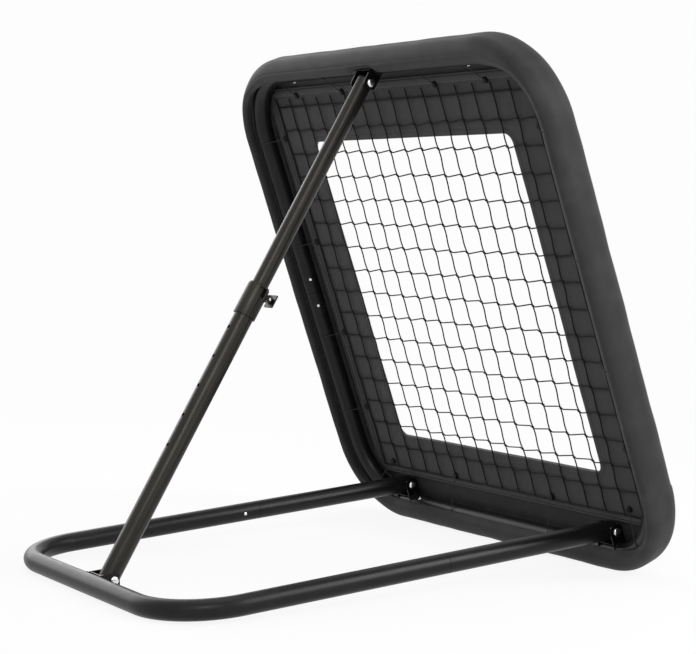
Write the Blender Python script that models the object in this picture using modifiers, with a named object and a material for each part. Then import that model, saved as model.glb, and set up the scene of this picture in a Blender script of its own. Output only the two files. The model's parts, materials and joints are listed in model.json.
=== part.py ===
"""Folding ball rebounder: a square tube hoop with a padded bumper and a framed net.

The hoop stands on its bumper and leans back. A U-shaped tube base is hinged to the bottom of
the hoop, and a telescopic prop runs from the rear tube of the base to the top of the hoop.

+X is across, +Y runs to the rear of the base and +Z is up, in metres. The origin is on the
floor under the middle of the object.
"""

import math

import bmesh
import bpy
from mathutils import Matrix, Vector

OBJECT_NAME = "folding_rebounder"

# Clearances
GAP = 0.0003                    # between pieces that touch
PIN_PLAY = 0.0004               # between a pin and its hole, on the radius
NEST_PLAY = 0.0004              # between a tube and what slides into it, on the radius
FOOT_PLAY = 0.0020              # at each side of the prop's foot in its bracket
SIDE_PLAY = 0.0020              # between a leg and each ear of its hinge

# Steel tube of the hoop and of the base
TUBE_D = 0.032
TUBE_WALL = 0.0015
TUBE_SIDES = 16

# Hoop, on the tube's centreline
HOOP_WIDTH = 0.840
HOOP_HEIGHT = 0.842
HOOP_BEND = 0.120
HOOP_LEAN = math.radians(19.39)
SPLICE_HEIGHT = 0.4205
SLEEVE_LENGTH = 0.100

# Bumper section, from the tube's centre: outwards and to the rear
BUMPER_OUT = 0.029
BUMPER_REAR = 0.0316
BUMPER_FRONT = 0.0385
BUMPER_INNER = 0.040            # the front flange reaches this far inwards
FLANGE_REAR = 0.0225            # rear face of the flange, in front of the tube's centre
LIP_INNER = 0.0065              # inner face of the rear lip
GROOVE_PLAY = 0.0006            # between the tube and the bumper's recess
CORD_SLOT = 0.0042              # between the tube and the bumper, for the tie cords
BUMPER_FLAT = 0.0005            # cut off where the bumper stands

# Panel and net
PANEL_SIDE = 0.024              # panel's edge inwards of the tube's centre, at each side
PANEL_LOW = 0.050
PANEL_TOP = 0.038               # and below the top tube's centre
PANEL_CORNER = 0.030
PANEL_THICK = 0.003
PANEL_PLACE = 0.018             # middle of the cloth, in front of the tube's centre
BORDER_SIDE = 0.104             # panel's edge to its window
BORDER_BOTTOM = 0.079
BORDER_TOP = 0.096
WINDOW_CORNER = 0.025
HEM_THICK = 0.0009
HEM_SIDE = 0.008
HEM_TOP = 0.011
HEM_BOTTOM = 0.013
NET_SIDE = 0.024                # panel's edge to the net's edge
NET_BOTTOM = 0.0205
NET_TOP = 0.0275
NET_GAPS = 16
NET_CORD = 0.0022
NET_PLACE = 0.0145              # net's middle, in front of the tube's centre

# Toggles and tie cords, each at its place along its edge: the outer ones from the end beside them
TOGGLE_D = 0.008
TOGGLE_HIGH = 0.0085
TOGGLE_INSET_SIDE = 0.0420      # from the tube's centreline inwards
TOGGLE_INSET_TOP = 0.0440
TOGGLE_INSET_BOTTOM = 0.0645
TIE_D = 0.0024
TIE_RISE = 0.0040               # height of the cord's hole in its toggle
TIE_TUCK = math.radians(46)     # where the cord ends beside the bumper's lip
LEFT_TOGGLES = (HOOP_HEIGHT - 0.124, HOOP_HEIGHT - 0.327, 0.333, 0.179)
RIGHT_TOGGLES = (HOOP_HEIGHT - 0.125, HOOP_HEIGHT - 0.329, 0.332, 0.184)
TOP_TOGGLES = (HOOP_WIDTH / 2 - 0.127, 0.140, -0.135, 0.148 - HOOP_WIDTH / 2)
BOTTOM_TOGGLES = (HOOP_WIDTH / 2 - 0.081, 0.137, -0.142, 0.078 - HOOP_WIDTH / 2)
TOP_LEAN = 0.012                # how far the top cords lean sideways

# Screws and rivets
RIVET_HEAD_D = 0.0085
RIVET_SHANK_D = 0.0032
RIVET_BULB_D = 0.0050
RIVET_SPACING = 0.053
RIVET_TURN = math.radians(22)   # from the inner side of the tube to the rear
SCREW_HEAD_D = 0.0072
SCREW_SHANK_D = 0.0034
SCREW_LENGTH = 0.007
BOTTOM_SCREW_INSET = 0.173      # inwards of the side tube's centre
BOTTOM_SCREW_TURN = math.radians(25)
TOP_SCREW_INSET = 0.159

# Hinge of the base
HINGE_RISE = 0.036              # above the bottom tube's centre, along the hoop
HINGE_REAR = 0.0                # behind it, square to the hoop
EAR_THICK = 0.0025
HINGE_EAR_WIDTH = 0.026
HINGE_EAR_END = 0.0125          # past the bolt
HINGE_EAR_CORNER = 0.010
WEB_THICK = 0.0018
BOLT_D = 0.008
BOLT_HEAD_D = 0.014
BOLT_HEAD_HIGH = 0.0042
NUT_ACROSS_D = 0.015
NUT_HIGH = 0.0062
BOSS_D = 0.016

# Base
LEG_INSET = 0.1273              # leg's centre inwards of the side tube's centre
BASE_LENGTH = 0.7956            # hinge to the rear tube's centre
BASE_BEND = 0.112
LEG_SEAM = 0.327                # hinge to the seam between front and rear tube
LEG_END = 0.0045                # tube past the hinge bolt
SWAGE_LENGTH = 0.062
BUTTON_BACK = 0.031             # behind the seam
BUTTON_D = 0.0064
BUTTON_PROUD = 0.0027
BUTTON_FLANGE_D = 0.0104
SPRING_THICK = 0.0008
SPRING_WIDTH = 0.008
SPRING_LENGTH = 0.036
PLUG_DEPTH = 0.020

# Prop
PIVOT_DROP = 0.024              # top pivot below the top tube's centre, along the hoop
PIVOT_REAR = 0.0279             # and behind it
FOOT_REACH = 0.038              # foot pivot in front of the rear tube's centre
CLEVIS_INSIDE = 0.037
CLEVIS_EAR_WIDTH = 0.024
CLEVIS_EAR_END = 0.0095
CLEVIS_CORNER = 0.006
UPPER_D = 0.0276
UPPER_WALL = 0.0012
LOWER_D = 0.0325
LOWER_WALL = 0.0018
LOWER_LENGTH = 0.500            # foot pivot to the tube's upper end
PROP_END = 0.006                # tube past its bolts
PROP_OVERLAP = 0.170            # length of upper tube inside the lower one
HOLE_D = 0.0064
HOLE_COUNT = 5
HOLE_TOP = 0.438
HOLE_PITCH = 0.053
COLLAR_D = 0.0376
COLLAR_BELOW = 0.0345           # below the lower tube's upper end
COLLAR_ABOVE = 0.022            # above it
COLLAR_EDGE = 0.0010
COLLAR_SHOULDER = 0.0015        # above the end of the lower tube
SLOT_WIDTH = 0.014
SLOT_HEIGHT = 0.016
SLOT_RISE = 0.0105              # slot's middle above the lower tube's end
SPLIT_WIDTH = 0.0009

# Lever on the collar
LEVER_PIN_REACH = 0.0235        # from the prop's axis
LEVER_RISE = 0.0105             # above the lower tube's end
LEVER_PIN_D = 0.003
LEVER_HUB_D = 0.0084
LEVER_HUB_WIDTH = 0.0072
LEVER_REACH = 0.036             # from the prop's axis to the paddle's outer face
LEVER_THICK = 0.0020
PADDLE_WIDTH = 0.015
PADDLE_BELOW = 0.0125
PADDLE_ABOVE = 0.0170
LUG_OUTER = 0.017
LUG_THICK = 0.0023
LUG_HALF_HIGH = 0.0058
LUG_END = 0.0045                # past the lever's pin
COIL_WIRE_D = 0.0008
COIL_D = 0.0058
COIL_TURNS = 1.5

TUBE_R = TUBE_D / 2
BORE_R = TUBE_R - TUBE_WALL
UPPER_R = UPPER_D / 2
LOWER_R = LOWER_D / 2
LOWER_BORE_R = LOWER_R - LOWER_WALL
HALF_HOOP = HOOP_WIDTH / 2
HALF_LEGS = HALF_HOOP - LEG_INSET
HALF_PANEL = HALF_HOOP - PANEL_SIDE
PANEL_HIGH = HOOP_HEIGHT - PANEL_TOP
HALF_WINDOW = HALF_PANEL - BORDER_SIDE
WINDOW_LOW = PANEL_LOW + BORDER_BOTTOM
WINDOW_HIGH = PANEL_HIGH - BORDER_TOP
NET_WIDTH = 2 * (HALF_PANEL - NET_SIDE)
NET_LOW = PANEL_LOW + NET_BOTTOM
NET_HIGH = PANEL_HIGH - NET_TOP
BOTTOM_SCREW_X = HALF_HOOP - BOTTOM_SCREW_INSET
TOP_SCREW_X = HALF_HOOP - TOP_SCREW_INSET
SWAGE_R = BORE_R - NEST_PLAY
TIE_R = TIE_D / 2
WEB_SEAT = TUBE_R + GAP
HINGE_INSIDE = TUBE_D + 2 * SIDE_PLAY
FOOT_INSIDE = LOWER_D + 2 * FOOT_PLAY
PIN_HOLE_R = BOLT_D / 2 + PIN_PLAY


def clear_scene():
    for obj in list(bpy.data.objects):
        bpy.data.objects.remove(obj, do_unlink=True)


def new_collection(name):
    collection = bpy.data.collections.new(name)
    bpy.context.scene.collection.children.link(collection)
    return collection


clear_scene()
SIDES = (("left", 1), ("right", -1))
PARTS = new_collection(OBJECT_NAME)
CUTTERS = new_collection("cutters")


# Materials

def material(name, colour, roughness, metallic):
    mat = bpy.data.materials.new(name)
    mat.use_nodes = True
    shader = mat.node_tree.nodes["Principled BSDF"]
    shader.inputs["Base Color"].default_value = (*colour, 1.0)
    shader.inputs["Roughness"].default_value = roughness
    shader.inputs["Metallic"].default_value = metallic
    mat.diffuse_color = (*colour, 1.0)
    return mat


POWDER_COAT = material("black_powder_coat", (0.020, 0.020, 0.021), 0.36, 0.10)
BRACKET_BLACK = material("gloss_black_paint", (0.008, 0.008, 0.009), 0.18, 0.10)
PROP_PAINT = material("bronze_grey_paint", (0.085, 0.074, 0.066), 0.34, 0.65)
BUMPER_SKIN = material("black_bumper_skin", (0.018, 0.018, 0.018), 0.48, 0.0)
PANEL_CLOTH = material("dark_grey_cloth", (0.040, 0.040, 0.041), 0.90, 0.0)
NET_BLACK = material("black_net_cord", (0.012, 0.012, 0.012), 0.85, 0.0)
ELASTIC = material("black_elastic", (0.016, 0.016, 0.016), 0.75, 0.0)
PLASTIC = material("black_plastic", (0.014, 0.014, 0.015), 0.45, 0.0)
ZINC = material("bright_zinc", (0.78, 0.78, 0.80), 0.20, 1.0)
SPRING_STEEL = material("spring_steel", (0.45, 0.45, 0.46), 0.30, 1.0)


# Shapes

def new_object(name, data, collection=PARTS):
    obj = bpy.data.objects.new(name, data)
    collection.objects.link(obj)
    return obj


def smooth(obj, angle=35):
    obj.data.shade_smooth()
    obj.data.set_sharp_from_angle(angle=math.radians(angle))
    return obj


def arc(centre, radius, start, end, steps, radius_y=None):
    """Points on an arc, or on a quarter of an ellipse where a second radius is given."""
    radius_y = radius if radius_y is None else radius_y
    angles = [math.radians(start + (end - start) * i / steps) for i in range(steps + 1)]
    return [(centre[0] + radius * math.cos(a), centre[1] + radius_y * math.sin(a)) for a in angles]


def bent_path(corners, radius, steps=7, closed=False):
    """A line through the corners, with an arc of the given radius at each inner corner."""
    count = len(corners)
    points = []
    for i, corner in enumerate(corners):
        corner = Vector(corner)
        if not closed and i in (0, count - 1):
            points.append(corner)
            continue
        before = (Vector(corners[i - 1]) - corner).normalized()
        after = (Vector(corners[(i + 1) % count]) - corner).normalized()
        half = before.angle(after) / 2
        centre = corner + (before + after).normalized() * radius / math.sin(half)
        start = corner + before * radius / math.tan(half) - centre
        end = corner + after * radius / math.tan(half) - centre
        sweep = start.angle(end)
        for k in range(steps + 1):
            share = k / steps
            along = (start * math.sin((1 - share) * sweep) + end * math.sin(share * sweep)) / math.sin(sweep)
            points.append(centre + along)
    return [tuple(point) for point in points]


def rounded_rectangle(low, high, radius, steps=4):
    corners = [(low[0], low[1]), (high[0], low[1]), (high[0], high[1]), (low[0], high[1])]
    return bent_path([(x, y, 0.0) for x, y in corners], radius, steps, closed=True)


def circle(centre, radius, sides):
    return arc(centre, radius, 0, 360, sides)[:-1]


def add_spline(curve, points, closed=False):
    spline = curve.splines.new("POLY")
    spline.points.add(len(points) - 1)
    for place, point in zip(spline.points, points):
        x, y, z = (*point, 0.0)[:3]
        place.co = (x, y, z, 1.0)
    spline.use_cyclic_u = closed
    spline.use_smooth = True


def rod(name, routes, diameter, resolution=2):
    """Round wires or cords with filled ends, one along each route."""
    curve = bpy.data.curves.new(name, "CURVE")
    curve.dimensions = "3D"
    curve.bevel_depth = diameter / 2
    curve.bevel_resolution = resolution
    curve.use_fill_caps = True
    for route in routes:
        add_spline(curve, route)
    return new_object(name, curve)


def bent_tube(name, route, diameter, wall):
    """An open-ended tube along a bent centreline."""
    curve = bpy.data.curves.new(name, "CURVE")
    curve.dimensions = "3D"
    curve.bevel_depth = diameter / 2
    curve.bevel_resolution = (TUBE_SIDES - 4) // 2
    curve.use_fill_caps = False
    add_spline(curve, route)
    obj = new_object(name, curve)
    shell = obj.modifiers.new("Wall", "SOLIDIFY")
    shell.thickness = wall
    shell.offset = -1.0
    shell.use_even_offset = True
    return as_mesh(obj)


def as_mesh(obj):
    """The solid that a curve and its modifiers describe, as a mesh in the same place."""
    bpy.context.view_layer.update()
    solid = obj.evaluated_get(bpy.context.evaluated_depsgraph_get())
    mesh = bpy.data.meshes.new_from_object(solid)
    shape = bmesh.new()
    shape.from_mesh(mesh)
    bmesh.ops.remove_doubles(shape, verts=shape.verts, dist=0.00001)
    shape.to_mesh(mesh)
    shape.free()
    name, place, data = obj.name, obj.matrix_world.copy(), obj.data
    bpy.data.objects.remove(obj, do_unlink=True)
    bpy.data.curves.remove(data)
    mesh.name = name
    result = new_object(name, mesh)
    result.matrix_world = place
    return result


def turned(name, profile, steps=20, closed=False):
    """A profile of radius and height, turned about the local Z axis."""
    edges = [(i, i + 1) for i in range(len(profile) - 1)]
    if closed:
        edges.append((len(profile) - 1, 0))
    mesh = bpy.data.meshes.new(name)
    mesh.from_pydata([(radius, 0.0, height) for radius, height in profile], edges, [])
    obj = new_object(name, mesh)
    screw = obj.modifiers.new("Turn", "SCREW")
    screw.angle = math.tau
    screw.steps = steps
    screw.render_steps = steps
    screw.use_merge_vertices = True
    screw.merge_threshold = 0.00001
    screw.use_smooth_shade = True
    return obj


def flat_plate(name, outlines, thickness):
    """A flat piece: the first outline is its edge, and the others are holes in it."""
    curve = bpy.data.curves.new(name, "CURVE")
    curve.dimensions = "2D"
    curve.fill_mode = "BOTH"
    curve.extrude = thickness / 2
    for outline in outlines:
        add_spline(curve, outline, closed=True)
    return as_mesh(new_object(name, curve))


def side_plate(name, outlines, width):
    """A plate whose outlines lie in the local YZ plane and whose width lies along X."""
    turned_outlines = [[(-z, y) for y, z in outline] for outline in outlines]
    plate = flat_plate(name, turned_outlines, width)
    plate.data.transform(Matrix.Rotation(math.pi / 2, 4, "Y"))
    return plate


def box(name, low, high):
    mesh = bpy.data.meshes.new(name)
    shape = bmesh.new()
    bmesh.ops.create_cube(shape, size=1.0)
    size = [b - a for a, b in zip(low, high)]
    middle = [(a + b) / 2 for a, b in zip(low, high)]
    shape.transform(Matrix.Translation(middle) @ Matrix.Diagonal((*size, 1.0)))
    shape.to_mesh(mesh)
    shape.free()
    return new_object(name, mesh)


def round_bar(name, radius, start, end, sides=12):
    """A cylinder along the local Z axis."""
    mesh = bpy.data.meshes.new(name)
    shape = bmesh.new()
    bmesh.ops.create_cone(shape, cap_ends=True, segments=sides, radius1=radius, radius2=radius, depth=end - start)
    shape.transform(Matrix.Translation((0, 0, (start + end) / 2)))
    shape.to_mesh(mesh)
    shape.free()
    return new_object(name, mesh)


def combine(obj, tool, operation):
    PARTS.objects.unlink(tool)
    CUTTERS.objects.link(tool)
    tool.hide_render = True
    tool.display_type = "WIRE"
    boolean = obj.modifiers.new(tool.name, "BOOLEAN")
    boolean.operation = operation
    boolean.solver = "EXACT"
    boolean.object = tool


def cut(obj, tool):
    combine(obj, tool, "DIFFERENCE")


def join(obj, tool):
    combine(obj, tool, "UNION")


def finish(obj, mat):
    obj.data.materials.clear()
    obj.data.materials.append(mat)
    return obj


def aim(direction):
    """The rotation that points the local Z axis along a direction."""
    return Vector(direction).to_track_quat("Z", "Y").to_euler()


# Turns of a piece's local Z axis
TURN_REAR = (-math.pi / 2, 0, 0)         # to +Y
TURN_FRONT = (math.pi / 2, 0, 0)         # to -Y
TURN_LEFT = (0, math.pi / 2, 0)          # to +X
TURN_RIGHT = (0, -math.pi / 2, 0)        # to -X


# Bumper section: the padded edge hugs the outer half of the tube

def bumper_section():
    """Outline of the bumper as distances outwards and to the rear from the tube's centre.

    It runs from the rear lip over the outer face to the front face and its flange, then back
    along the recess that holds the tube and the slot that takes the tie cords.
    """
    nose = 0.008
    shoulder = 0.006
    belt = 0.011
    nose_centre = (LIP_INNER + nose, BUMPER_REAR - nose)
    rear_round = BUMPER_OUT - nose_centre[0]
    front_round = 0.026
    recess_r = TUBE_R + GROOVE_PLAY
    slot_r = TUBE_R + CORD_SLOT
    points = arc(nose_centre, nose, 180, 90, 4)
    points += arc((nose_centre[0], shoulder), rear_round, 90, 0, 6, BUMPER_REAR - shoulder)[1:]
    points += arc((BUMPER_OUT - front_round, -belt), front_round, 0, -90, 7, BUMPER_FRONT - belt)
    points += [(-BUMPER_INNER + 0.006, -BUMPER_FRONT + 0.003)]
    points += [(-BUMPER_INNER + 0.0018, -BUMPER_FRONT + 0.0046), (-BUMPER_INNER, -BUMPER_FRONT + 0.008)]
    points += [(-BUMPER_INNER, -FLANGE_REAR - 0.003), (-BUMPER_INNER + 0.003, -FLANGE_REAR)]
    points += [(-0.004, -FLANGE_REAR)]
    points += arc((0, 0), recess_r, -100, 40, 8)
    slot_end = math.degrees(math.acos(LIP_INNER / slot_r))
    points += arc((0, 0), slot_r, 41, slot_end, 3)
    return points


SECTION = bumper_section()


def section_reach(outwards, rear):
    """How far the section reaches in a direction from the tube's centre."""
    return max(outwards * point[0] + rear * point[1] for point in SECTION)


# Places of the hoop, the hinge and the prop's pivots

SIN_LEAN, COS_LEAN = math.sin(HOOP_LEAN), math.cos(HOOP_LEAN)
UP_HOOP = Vector((0, SIN_LEAN, COS_LEAN))
REAR_HOOP = Vector((0, COS_LEAN, -SIN_LEAN))
FOOT_HEIGHT = section_reach(COS_LEAN, SIN_LEAN) - BUMPER_FLAT
FRONT_REACH = section_reach(SIN_LEAN, -COS_LEAN)
HINGE_OFFSET = HINGE_RISE * UP_HOOP + HINGE_REAR * REAR_HOOP
BASE_SLOPE = math.asin((FOOT_HEIGHT + HINGE_OFFSET.z - TUBE_R) / BASE_LENGTH)
BASE_REAR = Vector((0, math.cos(BASE_SLOPE), -math.sin(BASE_SLOPE)))
DEPTH = FRONT_REACH + HINGE_OFFSET.y + BASE_LENGTH * BASE_REAR.y + TUBE_R
HOOP_FOOT = Vector((0, FRONT_REACH - DEPTH / 2, FOOT_HEIGHT))
HINGE = HOOP_FOOT + HINGE_OFFSET
TOP_PIVOT = HOOP_FOOT + (HOOP_HEIGHT - PIVOT_DROP) * UP_HOOP + PIVOT_REAR * REAR_HOOP
FOOT_PIVOT = HINGE + (BASE_LENGTH - FOOT_REACH) * BASE_REAR
PROP = TOP_PIVOT - FOOT_PIVOT
PROP_LENGTH = PROP.length
PROP_TURN = math.atan2(-PROP.y, PROP.z)
UPPER_LENGTH = PROP_LENGTH - LOWER_LENGTH + PROP_OVERLAP


def empty(name, place, turn):
    obj = new_object(name, None)
    obj.empty_display_size = 0.04
    obj.location = place
    obj.rotation_euler = (turn, 0, 0)
    return obj


HOOP_AXIS = empty("hoop_axis", HINGE, -HOOP_LEAN)
BASE_AXIS = empty("base_axis", HINGE, -BASE_SLOPE)
PROP_AXIS = empty("prop_axis", TOP_PIVOT, PROP_TURN)
SLIDE_AXIS = empty("slide_axis", FOOT_PIVOT, PROP_TURN)
LEVER_AXIS = empty("lever_axis", (0, -LEVER_PIN_REACH, LOWER_LENGTH + LEVER_RISE), 0)
LEVER_AXIS.parent = SLIDE_AXIS


def on_hoop(obj, x=0.0, rear=0.0, up=0.0, turn=(0, 0, 0)):
    """Place a piece in the hoop, from the bottom tube's centre."""
    obj.parent = HOOP_AXIS
    obj.location = (x, rear - HINGE_REAR, up - HINGE_RISE)
    obj.rotation_euler = turn
    return obj


def on_base(obj, x=0.0, y=0.0, z=0.0, turn=(0, 0, 0), parent=BASE_AXIS):
    obj.parent = parent
    obj.location = (x, y, z)
    obj.rotation_euler = turn
    return obj


def on_prop(obj, parent, x=0.0, y=0.0, z=0.0, turn=(0, 0, 0)):
    return on_base(obj, x, y, z, turn, parent)


# Hoop

def rivet_direction(side):
    return Vector((-side * math.cos(RIVET_TURN), math.sin(RIVET_TURN), 0))


def screw_places():
    """Name, centre on the tube and direction of each bumper screw, in the hoop."""
    places = []
    lean = BOTTOM_SCREW_TURN
    for side_name, side in SIDES:
        places.append((f"bottom_{side_name}", (side * BOTTOM_SCREW_X, 0, 0), (0, math.sin(lean), math.cos(lean))))
        places.append((f"top_{side_name}", (side * TOP_SCREW_X, 0, HOOP_HEIGHT), (0, 0, -1)))
    return places


def drill(obj, place, direction, radius, start, end, put=on_hoop):
    tool = round_bar(f"{obj.name}_drill", radius, start, end, 10)
    put(tool, *place, turn=aim(direction))
    cut(obj, tool)


def half_ring(end, far):
    corners = [(HALF_HOOP, 0, end), (HALF_HOOP, 0, far), (-HALF_HOOP, 0, far), (-HALF_HOOP, 0, end)]
    return bent_path(corners, HOOP_BEND)


def ring_bar(name, far):
    """A solid bar a little thicker than the tube, along one half of the hoop."""
    bar = as_mesh(rod(name, [half_ring(SPLICE_HEIGHT, far)], TUBE_D + 2 * GAP, (TUBE_SIDES - 4) // 2))
    return on_hoop(bar)


def ring_tube(name, end, far):
    tube = bent_tube(name, half_ring(end, far), TUBE_D, TUBE_WALL)
    on_hoop(tube)
    rivet_height = SPLICE_HEIGHT + math.copysign(RIVET_SPACING / 2, far - SPLICE_HEIGHT)
    for side in (1, -1):
        drill(tube, (side * HALF_HOOP, 0, rivet_height), rivet_direction(side),
              RIVET_SHANK_D / 2 + PIN_PLAY, BORE_R - 0.004, TUBE_R + 0.002)
    for _, place, direction in screw_places():
        if place[2] == far:
            drill(tube, place, direction, SCREW_SHANK_D / 2 + PIN_PLAY, BORE_R - 0.004, TUBE_R + 0.002)
    return finish(smooth(tube), POWDER_COAT)


def splice_sleeve(name, side):
    outer, inner, half = SWAGE_R, SWAGE_R - TUBE_WALL, SLEEVE_LENGTH / 2
    sleeve = turned(name, [(outer, half), (outer, -half), (inner, -half), (inner, half)], TUBE_SIDES, closed=True)
    on_hoop(sleeve, side * HALF_HOOP, 0, SPLICE_HEIGHT)
    for height in (-RIVET_SPACING / 2, RIVET_SPACING / 2):
        drill(sleeve, (side * HALF_HOOP, 0, SPLICE_HEIGHT + height), rivet_direction(side),
              RIVET_SHANK_D / 2 + PIN_PLAY, inner - 0.004, outer + 0.002)
    return finish(sleeve, POWDER_COAT)


def splice_rivet(name, side, height):
    """A blind rivet: domed head outside, shank through both walls and a bulb inside."""
    head, shank, bulb = RIVET_HEAD_D / 2, RIVET_SHANK_D / 2, RIVET_BULB_D / 2
    seat = TUBE_R + GAP
    inside = SWAGE_R - TUBE_WALL - 2 * GAP
    profile = [(0, seat + 0.0019), (head * 0.6, seat + 0.0015), (head, seat + 0.0004), (head, seat),
               (shank, seat), (shank, inside), (bulb, inside - 0.0008), (bulb, inside - 0.0022),
               (0, inside - 0.0030)]
    rivet = turned(name, profile, 10)
    on_hoop(rivet, side * HALF_HOOP, 0, SPLICE_HEIGHT + height, aim(rivet_direction(side)))
    return finish(rivet, ZINC)


def bumper_screw(name, place, direction):
    head, shank, seat = SCREW_HEAD_D / 2, SCREW_SHANK_D / 2, TUBE_R + GAP
    profile = [(0, seat + 0.0020), (head * 0.7, seat + 0.0017), (head, seat + 0.0008), (head, seat),
               (shank, seat), (shank, seat - SCREW_LENGTH + 0.002), (0, seat - SCREW_LENGTH)]
    screw = turned(name, profile, 10)
    on_hoop(screw, *place, turn=aim(direction))
    return finish(screw, ZINC)


def ring_bumper():
    """The section swept once round the hoop and cut flat where it stands on the floor."""
    profile = bpy.data.curves.new("bumper_section", "CURVE")
    profile.dimensions = "2D"
    add_spline(profile, [(-out, -rear) for out, rear in SECTION], closed=True)
    guide = new_object("bumper_section", profile, CUTTERS)
    guide.hide_render = True
    guide.display_type = "WIRE"
    path = bpy.data.curves.new("ring_bumper", "CURVE")
    path.dimensions = "2D"
    path.fill_mode = "NONE"
    path.bevel_mode = "OBJECT"
    path.bevel_object = guide
    add_spline(path, rounded_rectangle((-HALF_HOOP, 0), (HALF_HOOP, HOOP_HEIGHT), HOOP_BEND, 7), closed=True)
    bumper = as_mesh(new_object("ring_bumper", path))
    on_hoop(bumper, turn=TURN_FRONT)
    floor = box("bumper_floor", (-HOOP_WIDTH, HOOP_FOOT.y - 0.1, -0.1), (HOOP_WIDTH, HOOP_FOOT.y + 0.1, 0.0))
    cut(bumper, floor)
    return finish(smooth(bumper, 50), BUMPER_SKIN)


# Panel and net

def border_panel():
    """A cloth panel with a window, and the folded hem round its edge on the rear face."""
    half, window = HALF_PANEL, HALF_WINDOW
    outlines = [rounded_rectangle((-half, PANEL_LOW), (half, PANEL_HIGH), PANEL_CORNER, 3),
                rounded_rectangle((-window, WINDOW_LOW), (window, WINDOW_HIGH), WINDOW_CORNER, 6)]
    panel = flat_plate("border_panel", outlines, PANEL_THICK)
    on_hoop(panel, rear=-PANEL_PLACE, turn=TURN_FRONT)
    fold = half - HEM_THICK / 3
    outlines = [rounded_rectangle((-fold, PANEL_LOW + half - fold), (fold, PANEL_HIGH - half + fold), PANEL_CORNER, 3),
                rounded_rectangle((-fold + HEM_SIDE, PANEL_LOW + HEM_BOTTOM),
                                  (fold - HEM_SIDE, PANEL_HIGH - HEM_TOP), 0.003, 2)]
    hem = flat_plate("panel_hem", outlines, 2 * HEM_THICK)
    on_hoop(hem, rear=-PANEL_PLACE + PANEL_THICK / 2, turn=TURN_FRONT)
    join(panel, hem)
    return finish(panel, PANEL_CLOTH)


def net():
    mesh = bpy.data.meshes.new("net")
    shape = bmesh.new()
    bmesh.ops.create_grid(shape, x_segments=NET_GAPS, y_segments=NET_GAPS, size=0.5)
    shape.transform(Matrix.Diagonal((NET_WIDTH, NET_HIGH - NET_LOW, 1.0, 1.0)))
    shape.to_mesh(mesh)
    shape.free()
    obj = new_object("net", mesh)
    cords = obj.modifiers.new("Cords", "WIREFRAME")
    cords.thickness = NET_CORD
    cords.use_replace = True
    cords.use_boundary = True
    cords.use_even_offset = True
    on_hoop(obj, rear=-NET_PLACE, up=(NET_LOW + NET_HIGH) / 2, turn=TURN_FRONT)
    return finish(obj, NET_BLACK)


HEM_FACE = -PANEL_PLACE + PANEL_THICK / 2 + HEM_THICK + GAP


class Edge:
    """One edge of the hoop: its middle line, the way out of the hoop and the way along it."""

    def __init__(self, name, middle, outwards, along, straight, inset, places, lean):
        self.name = name
        self.straight = straight
        self.middle = Vector(middle)
        self.outwards = Vector(outwards)
        self.along = Vector(along)
        self.inset = inset
        self.places = places
        self.lean = lean

    def point(self, out, rear, place):
        return self.middle + out * self.outwards + Vector((0, rear, 0)) + place * self.along

    def tube(self, place):
        """The tube's centre at a place and the way out of the hoop there, which turns in a bend."""
        over = place - min(max(place, self.straight[0]), self.straight[1])
        share = over / HOOP_BEND
        outwards = math.sqrt(1 - share ** 2) * self.outwards + share * self.along
        return self.point(-HOOP_BEND, 0, place - over) + HOOP_BEND * outwards, outwards


UPRIGHT = (HOOP_BEND, HOOP_HEIGHT - HOOP_BEND)
LEVEL = (HOOP_BEND - HALF_HOOP, HALF_HOOP - HOOP_BEND)
EDGES = [
    Edge("left", (HALF_HOOP, 0, 0), (1, 0, 0), (0, 0, 1), UPRIGHT, TOGGLE_INSET_SIDE, LEFT_TOGGLES, 0.0),
    Edge("right", (-HALF_HOOP, 0, 0), (-1, 0, 0), (0, 0, 1), UPRIGHT, TOGGLE_INSET_SIDE, RIGHT_TOGGLES, 0.0),
    Edge("top", (0, 0, HOOP_HEIGHT), (0, 0, 1), (1, 0, 0), LEVEL, TOGGLE_INSET_TOP, TOP_TOGGLES, TOP_LEAN),
    Edge("bottom", (0, 0, 0), (0, 0, -1), (1, 0, 0), LEVEL, TOGGLE_INSET_BOTTOM, BOTTOM_TOGGLES, 0.0),
]


def tie_route(edge, place):
    """From inside the toggle straight to the tube, then round its rear into the bumper's slot."""
    start_out = -edge.inset
    start_rear = HEM_FACE + TIE_RISE
    reach = TUBE_R + TIE_R + GAP
    touch = math.atan2(start_rear, start_out) % math.tau - math.acos(reach / math.hypot(start_out, start_rear))
    steps = 6
    centre, outwards = edge.tube(place + edge.lean)
    points = [edge.point(start_out, start_rear, place)]
    for i in range(steps + 1):
        angle = touch + (TIE_TUCK - touch) * i / steps
        points.append(centre + reach * (math.cos(angle) * outwards + Vector((0, math.sin(angle), 0))))
    return points


def tie(name, edge, place):
    """A domed toggle on the panel's rear face, with its elastic cord."""
    radius = TOGGLE_D / 2
    profile = [(0, TOGGLE_HIGH), (radius * 0.72, TOGGLE_HIGH * 0.93), (radius, TOGGLE_HIGH * 0.62),
               (radius, TOGGLE_HIGH * 0.22), (radius * 0.75, 0), (0, 0)]
    toggle = turned(name, profile, 8)
    on_hoop(toggle, *edge.point(-edge.inset, HEM_FACE, place), TURN_REAR)
    cord = as_mesh(rod(f"{name}_cord", [tie_route(edge, place)], TIE_D))
    on_hoop(cord)
    join(toggle, cord)
    return finish(toggle, ELASTIC)


# Forks, bolts and nuts

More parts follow.
